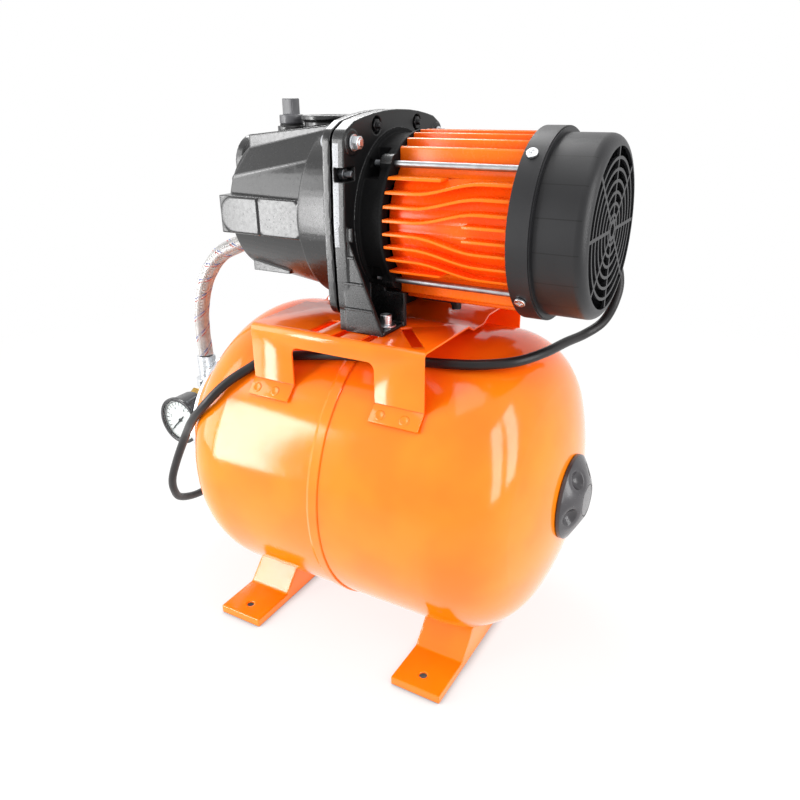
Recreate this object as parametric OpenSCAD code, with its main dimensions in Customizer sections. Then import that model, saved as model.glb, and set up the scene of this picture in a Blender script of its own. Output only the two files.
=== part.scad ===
// Domestic water booster set: a self-priming jet pump with its motor on a horizontal pressure tank.

/* [Pressure tank] */
// outer radius of the tank barrel
tank_r = 135; // [110:1:170]
// wall of the tank sheet
tank_wall = 1.2; // [1:0.1:4]
// half of the tank's length over both domed ends
tank_half = 177.5; // [150:0.5:260]
// knuckle radius of the domed ends
knuckle_r = 62; // [35:1:75]
// crown radius of the domed ends
crown_r = 250; // [200:5:400]
// clear height under the tank
tank_clear = 20; // [12:1:60]
// tank centre ahead of the middle of the feet
tank_x = 5.5; // [0:0.5:12]
// start of the lap seam along the tank
seam_x = 5; // [-10:1:20]
// width of the raised lap at the seam
seam_w = 8; // [5:0.5:14]
// height of the raised lap at the seam
seam_t = 1.4; // [1:0.1:2]
// radius of the membrane bag
bag_r = 100; // [70:1:115]
// half length of the membrane bag
bag_half = 120; // [90:1:140]
// wall of the membrane bag
bag_wall = 2.5; // [1.5:0.5:4]

/* [Tank flange] */
// radius of the flange plate
flange_r = 72; // [60:1:80]
// thickness of the flange plate
flange_t = 4; // [3:0.5:6]
// bolt circle radius of the flange
flange_bolt_r = 63; // [55:0.5:70]
// number of flange bolts
flange_bolts_n = 6; // [4:1:8]

/* [Feet] */
// distance between the feet along the tank
foot_pitch = 195; // [150:1:260]
// width of one foot strip
foot_w = 47; // [35:1:60]
// half of the span across both pads
foot_reach = 125; // [105:1:150]
// distance of each fixing hole from the pad's end
foot_hole_in = 16; // [10:1:30]
// length of a pad
pad_len = 45; // [30:1:55]
// radius of a fixing hole
foot_hole_r = 3.5; // [2.5:0.25:5]
// height of a pad over the floor
pad_z = 8; // [5:0.5:14]
// sheet thickness of the feet
foot_t = 2.5; // [1.5:0.25:4]

/* [Saddle bracket] */
// rear end of the saddle along the tank
saddle_x0 = -73; // [-110:1:-50]
// front end of the saddle along the tank
saddle_x1 = 91.5; // [60:0.5:120]
// half width of the saddle
saddle_y = 98; // [80:1:115]
// height of the saddle's top face over the tank
saddle_rise = 9; // [8:0.5:30]
// sheet thickness of the saddle
saddle_t = 2; // [1.5:0.25:4]
// depth of the stiffening trough
trough_d = 5.2; // [3:0.1:6]
// half width of the trough at the top
trough_w = 20; // [12:1:30]
// rear end of the side window
window_x0 = -31.5; // [-50:0.5:-10]
// front end of the side window
window_x1 = 47.5; // [20:0.5:70]
// height of the strip over the side window
window_drop = 15; // [10:0.5:25]
// width of the fixing slots
slot_w = 9; // [7:0.5:12]

/* [Pump] */
// height of the shaft over the saddle
shaft_up = 82; // [82:0.5:110]
// radius of the joint flange
joint_r = 81; // [70:1:95]
// side distance of the corner bolts from the shaft
ear_y = 67.5; // [55:0.5:80]
// height distance of the corner bolts from the shaft
ear_z = 60; // [50:0.5:75]
// radius of a corner bolt
corner_bolt_r = 3; // [2.5:0.5:4]
// radius of the side studs
side_stud_r = 2.5; // [2:0.25:3.5]
// height of the side studs above the shaft
side_stud_up = 38; // [30:0.5:44]
// seat of the side studs' nuts along X
stud_seat_x = 5.5; // [5.5:0.5:10]
// distance of the side studs from the middle
side_stud_y = 71; // [66:0.5:74]
// corner radius of the joint flange
ear_r = 11; // [8:0.5:14]
// drum radius at the joint flange
drum_r = 76; // [65:1:80]
// drum radius at its rear end
drum_r2 = 73; // [62:1:78]
// rear end of the drum
drum_x = -37; // [-50:1:-25]
// radius of the tail at the drum
tail_r = 68; // [50:1:72]
// radius of the tail at its rear end
tail_r2 = 58; // [50:1:62]
// rear end of the casing
tail_x = -121; // [-150:1:-100]
// half width of the ridge on the casing
ridge_y = 35; // [28:0.5:40]
// height of the suction port over the shaft
suction_up = 36; // [30:1:45]
// radius of the suction boss
suction_r = 23; // [20:0.5:30]
// rear face of the suction boss
suction_x = -139; // [-160:1:-125]
// core radius of the threaded ports
port_r = 15.1; // [10:0.1:20]
// position of the discharge port along the shaft
discharge_x = -53; // [-70:1:-45]
// height of the discharge rim over the shaft
discharge_up = 77; // [70:1:95]
// radius of the discharge rim
discharge_r = 23.5; // [20:0.5:32]
// position of the filling plug along the shaft
plug_x = -92; // [-100:1:-85]
// depth of the pads under the casing below the shaft
pad_down = 53; // [50:0.5:56]
// impeller radius
impeller_r = 54; // [40:1:54]
// number of impeller vanes
vanes_n = 6; // [4:1:8]

/* [Motor bracket] */
// front face of the bracket flange
flange_x = 14.5; // [13:0.5:17]
// front end of the bracket bell
bell_x = 38; // [30:1:50]
// radius of the bracket bell
bell_r = 64; // [58:1:66]
// depth of the bell's corner recesses, measured from the shaft
recess_a = 33; // [30:1:38]
// outer side of a bracket leg
leg_y = 79.5; // [76:0.5:84]
// inner side of a bracket leg
leg_in_y = 43; // [38:0.5:44]
// front end of a bracket leg on the saddle
leg_x = 45; // [40:0.5:50]
// start of the legs' outer gusset along X
leg_x0 = 10.5; // [8:0.5:13]
// thickness of a bracket foot plate
leg_pad_t = 2.8; // [2:0.1:5]
// side position of the foot bolts
foot_bolt_y = 60; // [58:0.5:62]
// lengthwise position of the foot bolts
foot_bolt_x = 36.5; // [34:0.5:38]

/* [Motor] */
// rear end of the motor frame at the fan
frame_x = 138; // [110:1:170]
// radius over the cooling fins
fin_r = 67; // [60:1:75]
// radius of the frame barrel
barrel_r = 56; // [50:1:60]
// thickness of a cooling fin
fin_t = 2.2; // [1.5:0.1:3.5]
// pitch of the side fins
fin_pitch = 10; // [8:0.5:12]
// side and height distance of the tie rods from the shaft
rod_a = 44.2; // [40:0.2:50]
// radius of a tie rod
rod_r = 2.5; // [2:0.1:3.5]
// radius of the motor shaft
shaft_r = 8; // [6:0.5:10]

/* [Fan cover] */
// outer radius of the fan cover skirt
skirt_r = 71; // [65:0.5:80]
// start of the skirt
skirt_x = 139.5; // [130:0.5:172]
// width of the skirt
skirt_w = 17; // [12:0.5:24]
// outer radius of the fan cover body
cover_r = 66.5; // [60:0.5:70]
// front face of the fan cover
cover_x = 194; // [180:1:240]
// rounding of the cover's front rim
cover_round = 8; // [4:0.5:12]
// angle of the cover's first screw about the shaft
cover_screw_a = 40.5; // [36:0.5:50]
// wall of the fan cover
cover_wall = 2.2; // [1.5:0.1:3]
// radius of the grille field
grille_r = 58; // [50:0.5:60]
// number of grille rings
grille_rings = 6; // [4:1:8]
// number of grille spokes
grille_spokes = 8; // [6:1:12]

/* [Fittings] */
// distance of the manifold axis behind the tank collar
manifold_out = 46; // [44:1:70]
// radius of the manifold body
manifold_r = 15; // [13:0.5:18]
// radius of the gauge case
gauge_r = 26; // [20:0.5:32]
// face of the gauge ahead of the manifold axis
gauge_y = 51; // [48:1:70]
// dial radius of the gauge
dial_r = 22.6; // [16:0.2:28]
// side of the switch housing
switch_w = 56; // [45:1:60]
// height of the switch housing
switch_h = 76; // [60:1:90]
// radius of the valve cap
cap_r = 37; // [30:0.5:45]
// radius of the flat disc in the cap
cap_disc_r = 15; // [10:0.5:20]
// number of finger dimples in the cap
cap_dimples = 5; // [4:1:7]
// depth of each finger dimple
dimple_deep = 4; // [2:0.5:5]

/* [Hose and cable] */
// outer radius of the braided hose
hose_r = 8.2; // [6:0.1:10]
// radius of the motor cable
cable_r = 4; // [3:0.1:5]

/* [Clearances] */
// gap between parts that only lie beside each other
rest_gap = 0.2; // [0.1:0.05:0.5]
// radial clearance of a running fit
run_gap = 0.05; // [0.01:0.01:0.1]
// radial clearance of a bolt in its hole
bolt_gap = 0.4; // [0.2:0.1:1]
// gap round a moving part
free_gap = 0.5; // [0.3:0.1:1]

/* [Hidden] */
$fn = 64;

tank_z = tank_r + tank_clear;
saddle_z = tank_z + tank_r + saddle_rise;
shaft_z = saddle_z + shaft_up;
foot_hole_y = foot_reach - foot_hole_in;
collar_x = tank_x - tank_half - 12;
manifold_x = collar_x - manifold_out;
cap_x = tank_x + tank_half + 13;
left_reach = switch_w / 2 - manifold_x;
right_reach = max(cover_x, cap_x);
shift_x = (left_reach - right_reach) / 2;
dome_x = tank_half - crown_r + sqrt(pow(crown_r - knuckle_r, 2) - pow(tank_r - knuckle_r, 2));
knuckle_y = tank_r - knuckle_r;
dome_angle = atan2(knuckle_y, dome_x - tank_half + crown_r);
stator_x0 = bell_x + 24;
stator_x1 = frame_x - 24;
cap_sphere = 56;
cap_wall = 3.2;
cap_depth = 15;
dimple_r = 11;
gasket_x0 = 2;
gasket_x1 = 4;
ear_angle = atan2(ear_z, ear_y);
ear_d = norm([ear_y, ear_z]);
ear_turn = acos((joint_r - ear_r) / ear_d);
manifold_z = tank_z;
box_x0 = 62;
box_x1 = 122;
box_y0 = fin_r + rest_gap;
box_y1 = 104;
box_z0 = shaft_z - 32;
box_z1 = shaft_z + 30;
gland_y = 86;
gland_z = shaft_z - 10;
hose_port_z = shaft_z - 37;
drain_x = tail_x + 27;
drain_low = tail_r2 + (tail_r - tail_r2) * (drain_x - tail_x) / (drum_x - tail_x);
hose_top_x = tail_x - 34;
hose_low_z = manifold_z + 60;

hose_dx = manifold_x - hose_top_x;
hose_dz = hose_low_z - hose_port_z;
hose_turns = [[0, 0], [0.173, 0.039], [0.52, 0.14], [0.813, 0.341], [0.973, 0.589], [1.013, 0.806], [1, 1]];
hose_route = [for (f = hose_turns) [hose_top_x + f[0] * hose_dx, 0, hose_port_z + f[1] * hose_dz]];
lead_end = [[box_x1 + 16, gland_y, gland_z], [cover_x - 38, 86, shaft_z - 13],
  [cover_x - 18, 78, shaft_z - 29], [cover_x - 7, 68, shaft_z - 51],
  [cover_x - 7, 60, shaft_z - 69], [cover_x - 13, 53, shaft_z - 85]];
lead_top = [for (p = [[171, 38, -11], [163, 12, -12], [156, -16, -13], [142, -42, -15], [118, -57, -17],
  [92, -62, -19], [58, -66, -21], [16, -72, -22.5], [-30, -78, -27.5], [-66, -85, -33.5], [-82, -96, -43]])
  [p[0], p[1], saddle_z + p[2]]];
lead_side = [for (p = [[-98, 25, 88], [-114, 15, 70], [-138, 20, 47]])
  [p[0], p[1] - tank_r, tank_z + p[2]]];
lead_rear = [for (p = [[68, 32, 23], [46, 36, -11], [31, 39, -39], [23, 46, -59], [16, 59, -75],
  [8, 89, -89]]) [manifold_x + p[0], p[1] - tank_r, tank_z + p[2]]];
lead_tail = [for (p = [[1, -10, -95], [-2, 28, -93], [-1, 56, -81], [0, 68, -63]])
  [manifold_x + p[0], p[1], tank_z + p[2]]];
cable_route = concat(lead_end, lead_top, lead_side, lead_rear, lead_tail,
  [[manifold_x, 70, manifold_z - switch_h / 2 - 10]]);

module along_x(x, y = 0, z = 0) {
  translate([x, y, z])
    rotate([0, 90, 0])
      children();
}

module prism_x(x, len) {
  translate([x, 0, 0])
    rotate([90, 0, 90])
      linear_extrude(height = len)
        children();
}

module prism_y(y, len) {
  translate([0, y + len, 0])
    rotate([90, 0, 0])
      linear_extrude(height = len)
        children();
}

module both_sides() {
  children();
  mirror([0, 1, 0]) children();
}

module round_rect(w, h, r) {
  square([w - 2 * r, h], center = true);
  square([w, h - 2 * r], center = true);
  for (sx = [-1, 1], sy = [-1, 1])
    translate([sx * (w / 2 - r), sy * (h / 2 - r)])
      circle(r = r);
}

module hex_x(x, y, z, af, h) {
  translate([x, y, z])
    rotate([0, 90, 0])
      cylinder(r = af / sqrt(3), h = h, $fn = 6);
}

module hex_z(x, y, z, af, h) {
  translate([x, y, z])
    cylinder(r = af / sqrt(3), h = h, $fn = 6);
}

// smooth route through hand-placed points
function spline(a, b, c, d, t) =
  0.5 * (2 * b + (c - a) * t + (2 * a - 5 * b + 4 * c - d) * t * t + (3 * b - a - 3 * c + d) * t * t * t);
function route(p, n) = concat(
  [for (i = [0:len(p) - 2], k = [0:n - 1])
    spline(p[max(i - 1, 0)], p[i], p[i + 1], p[min(i + 2, len(p) - 1)], k / n)],
  [p[len(p) - 1]]);
function unit(v) = v / norm(v);
function heading(p, i) = unit(p[min(i + 1, len(p) - 1)] - p[max(i - 1, 0)]);
function across(p, i, n) = unit(n - (n * heading(p, i)) * heading(p, i));
function side_dirs(p, n, i = 0) =
  i == len(p) ? [] : concat([across(p, i, n)], side_dirs(p, across(p, i, n), i + 1));

module tube(p, r, k, first) {
  n = side_dirs(p, first);
  pts = [for (i = [0:len(p) - 1], j = [0:k - 1])
    p[i] + r * (cos(360 * j / k) * n[i] + sin(360 * j / k) * cross(heading(p, i), n[i]))];
  last = (len(p) - 1) * k;
  sides = [for (i = [0:len(p) - 2], j = [0:k - 1])
    [i * k + j, (i + 1) * k + j, (i + 1) * k + (j + 1) % k, i * k + (j + 1) % k]];
  ends = [[for (j = [0:k - 1]) j], [for (j = [k - 1:-1:0]) last + j]];
  polyhedron(points = pts, faces = concat(sides, ends), convexity = 10);
}

// half of the tank outline, turned in by o
module dome_2d(o) {
  reach = crown_r + 20;
  square([tank_r - o, dome_x]);
  translate([knuckle_y, dome_x])
    circle(r = knuckle_r - o);
  intersection() {
    translate([0, tank_half - crown_r])
      circle(r = crown_r - o);
    polygon([[0, dome_x - 5], [knuckle_y, dome_x - 5], [knuckle_y, dome_x],
      [reach * sin(dome_angle), tank_half - crown_r + reach * cos(dome_angle)], [0, tank_half + 20]]);
  }
}

module shell_2d(from) {
  intersection() {
    difference() {
      dome_2d(0);
      dome_2d(tank_wall);
      translate([0, -1])
        square([tank_r - tank_wall, 3]);
    }
    translate([0, from])
      square([tank_r + 5, tank_half + 5]);
  }
}

// deep-drawn rear half, joggled out over the front half and welded to the flange collar
module tank_rear_shell() {
  lap = seam_x - tank_x;
  color([0.95, 0.42, 0.06])
    difference() {
      along_x(tank_x, 0, tank_z)
        rotate_extrude() {
          mirror([0, 1]) shell_2d(max(0, -lap));
          translate([tank_r - tank_wall, -1])
            square([tank_wall, 1 + lap]);
          polygon([[tank_r - 1, lap - 3], [tank_r, lap - 3], [tank_r + seam_t, lap],
            [tank_r + seam_t, lap + seam_w - 0.6], [tank_r + seam_t - 0.6, lap + seam_w],
            [tank_r + 0.1, lap + seam_w], [tank_r + 0.1, lap], [tank_r - 1, lap]]);
          translate([54, -tank_half - 12])
            square([flange_r - 54, 23.5]);
        }
      along_x(collar_x - 1, 0, tank_z)
        cylinder(r = 54, h = 30);
      for (i = [0:flange_bolts_n - 1])
        rotate_about_tank(i)
          along_x(collar_x - 1, flange_bolt_r, 0)
            cylinder(r = 4 + bolt_gap, h = 16);
    }
}

module rotate_about_tank(i) {
  translate([0, 0, tank_z])
    rotate([i * 360 / flange_bolts_n, 0, 0])
      children();
}

// deep-drawn front half with the air valve hole in its dome
module tank_front_shell() {
  color([0.95, 0.42, 0.06])
    difference() {
      along_x(tank_x, 0, tank_z)
        rotate_extrude()
          difference() {
            union() {
              shell_2d(0);
              translate([tank_r - tank_wall, -2])
                square([tank_wall, 3]);
            }
            translate([0, -20])
              square([tank_r + 5, 20 + seam_x - tank_x + rest_gap]);
          }
      along_x(tank_x + tank_half - 15, 0, tank_z)
        cylinder(r = 5 + run_gap, h = 30);
    }
}

// rubber bag that holds the water, clamped at the collar
module membrane() {
  round_r = 30;
  color([0.08, 0.08, 0.09])
    along_x(tank_x, 0, tank_z)
      rotate_extrude()
        difference() {
          union() {
            bag_2d(bag_r, bag_half, round_r);
            translate([0, -tank_half - 9])
              square([44, 90]);
            translate([0, -tank_half - 12 + rest_gap])
              square([53.5, 5]);
          }
          bag_2d(bag_r - bag_wall, bag_half - bag_wall, round_r - bag_wall);
          translate([0, -tank_half - 20])
            square([44 - bag_wall, 90]);
        }
}

module bag_2d(r, h, k) {
  translate([0, k - h])
    square([r, 2 * (h - k)]);
  translate([0, -h])
    square([r - k, 2 * h]);
  for (s = [-1, 1])
    translate([r - k, s * (h - k)])
      circle(r = k);
}

// pressed plate with the threaded water connection
module tank_flange() {
  color([0.72, 0.73, 0.74])
    difference() {
      union() {
        along_x(collar_x - flange_t - rest_gap, 0, tank_z)
          cylinder(r = flange_r, h = flange_t);
        along_x(manifold_x + manifold_r + rest_gap, 0, tank_z)
          cylinder(r = 18, h = collar_x - manifold_x - manifold_r - 2);
      }
      along_x(manifold_x, 0, tank_z)
        cylinder(r = 11, h = 80);
      for (i = [0:flange_bolts_n - 1])
        rotate_about_tank(i)
          along_x(collar_x - 20, flange_bolt_r, 0)
            cylinder(r = 4 + bolt_gap, h = 40);
    }
}

// hexagon bolts of the tank flange
module flange_bolts() {
  color([0.75, 0.75, 0.76])
    for (i = [0:flange_bolts_n - 1])
      rotate_about_tank(i) {
        hex_x(collar_x - flange_t - 5.5 - 2 * rest_gap, flange_bolt_r, 0, 12, 5.5);
        along_x(collar_x - flange_t - 1, flange_bolt_r, 0)
          cylinder(r = 4, h = 17);
      }
}

function mirrored(p) = [for (i = [len(p) - 1:-1:0]) [-p[i][0], p[i][1]]];

// stamped strip across the tank: two pads, two slopes and side walls down to the floor
module foot_at(x) {
  weld_y = 0.43 * tank_r;
  mid_y = 0.222 * tank_r;
  pad_y = foot_reach - pad_len;
  weld_z = tank_z - sqrt(pow(tank_r, 2) - pow(weld_y, 2)) - 1.5;
  mid_z = tank_z - sqrt(pow(tank_r, 2) - pow(mid_y, 2)) - 0.5;
  half = [[foot_reach, 0], [foot_reach, pad_z], [pad_y, pad_z], [weld_y, weld_z], [mid_y, mid_z]];
  hollow = [[foot_reach - foot_t, -1], [foot_reach - foot_t, pad_z - foot_t], [pad_y - 1, pad_z - foot_t],
    [weld_y - 1, weld_z - foot_t], [mid_y, mid_z - foot_t]];
  color([0.95, 0.42, 0.06])
    difference() {
      prism_x(x - foot_w / 2, foot_w)
        polygon(concat(half, mirrored(half)));
      prism_x(x - foot_w / 2 + foot_t, foot_w - 2 * foot_t)
        polygon(concat(hollow, mirrored(hollow)));
      along_x(x - foot_w, 0, tank_z)
        cylinder(r = tank_r + rest_gap, h = 2 * foot_w);
      for (s = [-1, 1])
        translate([x, s * foot_hole_y, -1])
          cylinder(r = foot_hole_r, h = pad_z + 2);
    }
}

module rear_foot() {
  foot_at(-foot_pitch / 2);
}

module front_foot() {
  foot_at(foot_pitch / 2);
}

// section of the saddle sheet: flanges folded down, trough in the middle
module saddle_2d(o) {
  r = 5 - o;
  top = saddle_z - o;
  y = saddle_y - o;
  difference() {
    union() {
      translate([-y, tank_z + 60])
        square([2 * y, top - r - tank_z - 60]);
      translate([r - y, tank_z + 60])
        square([2 * (y - r), top - tank_z - 60]);
      for (s = [-1, 1])
        translate([s * (y - r), top - r])
          circle(r = r);
    }
    polygon([[-trough_w - o * 0.4, top + 1], [-trough_w - o * 0.4, top],
      [-trough_w + 10 - o * 0.4, top - trough_d], [trough_w - 10 + o * 0.4, top - trough_d],
      [trough_w + o * 0.4, top], [trough_w + o * 0.4, top + 1]]);
  }
}

// cross-section of the bridge with its two weld tabs lying along the tank
module saddle_section() {
  surf_z = tank_z + sqrt(pow(tank_r, 2) - pow(saddle_y, 2));
  slope = acos(saddle_y / tank_r);
  difference() {
    union() {
      difference() {
        saddle_2d(0);
        saddle_2d(saddle_t);
        translate([-saddle_y - 5, tank_z])
          square([2 * saddle_y + 10, surf_z + 1 - tank_z]);
      }
      for (s = [0, 1])
        mirror([s, 0])
          translate([0, tank_z])
            rotate(-slope)
              translate([-tank_r - saddle_t - 0.5, -13])
                square([saddle_t, 15.5]);
    }
    translate([0, tank_z])
      circle(r = tank_r + rest_gap);
  }
}

// welded sheet bridge that carries the pump on the tank
module saddle() {
  color([0.95, 0.42, 0.06])
    difference() {
      prism_x(saddle_x0, saddle_x1 - saddle_x0)
        saddle_section();
      saddle_window();
      both_sides()
        saddle_slots();
    }
}

module saddle_window() {
  r = 6;
  top = saddle_z - window_drop;
  prism_y(-saddle_y - 20, 2 * saddle_y + 40) {
    translate([window_x0, tank_z])
      square([window_x1 - window_x0, top - r - tank_z]);
    translate([window_x0 + r, tank_z])
      square([window_x1 - window_x0 - 2 * r, top - tank_z]);
    for (x = [window_x0 + r, window_x1 - r])
      translate([x, top - r])
        circle(r = r);
  }
}

module saddle_slots() {
  for (s = [[-14, -58, -91], [10, -58, -94], [foot_bolt_x, -54, -93]])
    translate([s[0] - slot_w / 2, s[2], saddle_z - 4])
      cube([slot_w, s[1] - s[2], 8]);
  translate([48, -48, saddle_z - 4])
    rotate([0, 0, -50])
      translate([0, -slot_w / 2, 0])
        cube([50, slot_w, 8]);
}

// brass stem of the air valve, soldered into the dome
module air_valve() {
  x = tank_x + tank_half;
  color([0.78, 0.6, 0.25])
    difference() {
      union() {
        along_x(x - 8, 0, tank_z)
          cylinder(r = 5, h = 15);
        along_x(x - 8, 0, tank_z)
          cylinder(r = 9, h = 4);
      }
      along_x(x - 9, 0, tank_z)
        cylinder(r = 2 + free_gap, h = 20);
    }
}

// spring-loaded pin of the air valve
module valve_core() {
  x = tank_x + tank_half;
  color([0.75, 0.62, 0.3]) {
    along_x(x - 6, 0, tank_z)
      cylinder(r = 1.2, h = 12);
    along_x(x - 1, 0, tank_z)
      cylinder(r = 2, h = 4);
  }
}

// moulded cap over the air valve with finger dimples round its face
module valve_cap() {
  cx = cap_x - sqrt(pow(cap_sphere, 2) - pow(cap_disc_r, 2));
  color([0.06, 0.06, 0.07])
    difference() {
      intersection() {
        along_x(cx, 0, tank_z)
          sphere(r = cap_sphere);
        along_x(cap_x - cap_depth, 0, tank_z)
          cylinder(r = cap_r, h = cap_depth);
      }
      difference() {
        intersection() {
          along_x(cx, 0, tank_z)
            sphere(r = cap_sphere - cap_wall);
          along_x(cap_x - 30, 0, tank_z)
            difference() {
              cylinder(r = cap_r - cap_wall, h = 40);
              cylinder(r = 9, h = 40);
            }
        }
        dimples(cx, dimple_r + cap_wall - 1);
      }
      along_x(cap_x - 30, 0, tank_z)
        cylinder(r = cap_r - cap_wall, h = 18);
      along_x(cap_x - 30, 0, tank_z)
        cylinder(r = 5 + free_gap, h = 25);
      along_x(cap_x - 0.8, 0, tank_z)
        difference() {
          cylinder(r = cap_disc_r - 0.6, h = 2);
          cylinder(r = cap_disc_r - 1.5, h = 2);
        }
      dimples(cx, dimple_r);
    }
}

module dimples(cx, r) {
  out = cap_sphere + dimple_r - dimple_deep;
  tilt = asin(27 / cap_sphere);
  for (i = [0:cap_dimples - 1])
    translate([0, 0, tank_z])
      rotate([118 + i * 360 / cap_dimples, 0, 0])
        along_x(cx + out * cos(tilt), out * sin(tilt), 0)
          sphere(r = r);
}

// outline of the joint flange: a disc with four bolt corners and a flat arch between the upper two
module joint_2d() {
  rim = [for (a = [180:-10:120]) [-ear_y, ear_z] + ear_r * [cos(a), sin(a)]];
  arch = [for (t = [0.92, 0.74, 0.53, 0.3]) [-ear_y * t, joint_r + 0.5 - 7.8 * pow(t, 2)]];
  circle(r = joint_r);
  polygon(concat(rim, arch, [[0, joint_r + 0.5]], mirrored(concat(rim, arch))));
  for (sy = [-1, 1], sz = [-1, 1])
    scale_sign(sy, sz) {
      translate([ear_y, ear_z])
        circle(r = ear_r);
      polygon([for (e = [[joint_r, -1], [ear_r, -1], [ear_r, 1], [joint_r, 1]])
        let (a = ear_angle + e[1] * ear_turn, c = e[0] == ear_r ? [ear_y, ear_z] : [0, 0])
        c + e[0] * [cos(a), sin(a)]]);
      polygon([[0, 0], joint_r * [cos(ear_angle - ear_turn), sin(ear_angle - ear_turn)], [ear_y, ear_z],
        joint_r * [cos(ear_angle + ear_turn), sin(ear_angle + ear_turn)]]);
    }
}

module scale_sign(sy, sz) {
  mirror([sy < 0 ? 1 : 0, 0])
    mirror([0, sz < 0 ? 1 : 0])
      children();
}

module at_corners() {
  for (sy = [-1, 1], sz = [-1, 1])
    translate([0, sy * ear_y, shaft_z + sz * ear_z])
      children();
}

module joint_plate(x0, x1) {
  prism_x(x0, x1 - x0)
    translate([0, shaft_z])
      joint_2d();
}

// grey-iron pump body with the suction, discharge and hose bosses cast on
module pump_casing() {
  color([0.05, 0.05, 0.055])
    difference() {
      union() {
        joint_plate(-5, gasket_x0);
        along_x(tail_x, 0, shaft_z)
          rotate([0, 0, 18])
            rotate_extrude()
              polygon([[0, 0], [tail_r2 - 1.5, 0], [tail_r2, 1.5], [tail_r, drum_x - tail_x],
                [drum_r2 - 1.5, drum_x - tail_x], [drum_r2, drum_x - tail_x + 1.5],
                [drum_r, -4 - tail_x], [0, -4 - tail_x]]);
        casing_top();
        both_sides()
          side_block();
        translate([tail_x + 6.5, -40, shaft_z - pad_down])
          cube([41, 80, 26]);
        along_x(tail_x - 6, 0, hose_port_z)
          cylinder(r = 13, h = 20);
      }
      along_x(-33, 0, shaft_z)
        cylinder(r = 64, h = 60);
      along_x(tail_x + 7, 0, shaft_z)
        rotate([0, 0, 18])
          cylinder(r1 = 45.5, r2 = 54, h = -drum_x - tail_x - 90);
      along_x(tail_x + 8, 0, shaft_z)
        rotate([0, 0, 18])
          cylinder(r = 45.5, h = 90);
      along_x(suction_x - 1, 0, shaft_z + suction_up)
        cylinder(r = port_r, h = 40);
      along_x(tail_x - 7, 0, hose_port_z)
        cylinder(r = 7, h = 40);
      translate([discharge_x, 0, shaft_z + 35])
        cylinder(r = port_r, h = 60);
      translate([plug_x, 0, shaft_z + 30])
        cylinder(r = 8 + free_gap, h = 60);
      translate([drain_x, 0, shaft_z - drain_low - 3])
        cylinder(r = 6 + free_gap, h = 40);
      at_corners()
        along_x(-12)
          cylinder(r = corner_bolt_r + bolt_gap, h = 30);
      side_bolt_spots()
        along_x(-4)
          cylinder(r = side_stud_r + bolt_gap, h = 20);
      top_screw_spots()
        along_x(-4)
          cylinder(r = 2.5 + bolt_gap, h = 20);
    }
}

// ridge along the top with upright walls and sloping shoulders, and the bosses of the ports
module casing_top() {
  prism_y(-ridge_y, 2 * ridge_y)
    translate([0, shaft_z])
      polygon([[tail_x + 8.5, 20], [tail_x + 8.5, 62], [-4, 73], [-4, 20]]);
  intersection() {
    translate([-76, 0, shaft_z])
      rotate([0, -10.8, 0])
        prism_x(-60, 140)
          polygon([[-52, 37], [-ridge_y, 57.3], [ridge_y, 57.3], [52, 37], [40, 0], [-40, 0]]);
    prism_y(-60, 120)
      translate([0, shaft_z])
        polygon([[tail_x, 0], [tail_x, 27], [tail_x + 4, 33], [tail_x + 8.5, 51], [tail_x + 8.5, 62],
          [-4, 73], [-4, 0]]);
  }
  along_x(suction_x, 0, shaft_z + suction_up)
    cylinder(r = suction_r, h = 60);
  along_x(suction_x, 0, shaft_z + suction_up)
    cylinder(r = suction_r + 1.5, h = 8);
  translate([plug_x, 0, shaft_z + 50])
    cylinder(r = 12.5, h = 18);
  translate([discharge_x, 0, shaft_z + 60])
    cylinder(r = discharge_r - 3, h = discharge_up - 60);
  translate([discharge_x, 0, shaft_z + discharge_up - 4])
    cylinder(r = discharge_r, h = 4);
}

// long pad on the flank with two raised panels
module side_block() {
  translate([tail_x + 2, -70.8, shaft_z - 15])
    cube([84, 40, 31]);
  prism_y(-72.6, 5)
    translate([tail_x + 23.5, shaft_z + 0.5])
      round_rect(39, 29, 13);
  prism_y(-72.6, 5)
    translate([tail_x + 33.5, shaft_z + 0.5])
      square([20, 29], center = true);
  prism_y(-71.8, 5)
    translate([tail_x + 64.5, shaft_z + 0.5])
      round_rect(40, 30, 4);
}

module side_bolt_spots() {
  for (s = [-1, 1])
    translate([0, s * side_stud_y, shaft_z + side_stud_up])
      children();
}

// square-headed plug of the filling opening
module filling_plug() {
  z = shaft_z + 68;
  color([0.07, 0.07, 0.075]) {
    translate([plug_x, 0, z - 14])
      cylinder(r = 8, h = 16);
    translate([plug_x, 0, z + 1.5])
      cylinder(r = 10.5, h = 7.5);
    translate([plug_x - 5.5, -5.5, z + 9])
      cube([11, 11, 13]);
  }
}

// flat rubber ring under the filling plug
module plug_seal() {
  color([0.1, 0.1, 0.1])
    translate([plug_x, 0, shaft_z + 68])
      difference() {
        cylinder(r = 10.3, h = 1.5 - rest_gap);
        translate([0, 0, -1])
          cylinder(r = 8 + free_gap, h = 4);
      }
}

// socket drain plug, flush in the underside of the casing
module drain_plug() {
  color([0.7, 0.55, 0.25])
    difference() {
      translate([drain_x, 0, shaft_z - drain_low + 0.5])
        cylinder(r = 6, h = 15);
      hex_z(drain_x, 0, shaft_z - drain_low - 1, 6, 6);
    }
}

// nozzle and throat tube of the self-priming stage
module ejector() {
  color([0.85, 0.84, 0.8])
    along_x(tail_x + 15, 0, shaft_z)
      rotate_extrude()
        polygon([[5, 0], [20, 0], [20, 4], [14, 8], [12, 22], [13, 40], [17, 68], [30, 70], [30, 73],
          [13, 73], [10, 60], [5.5, 34], [4, 22], [8, 8]]);
}

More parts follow.
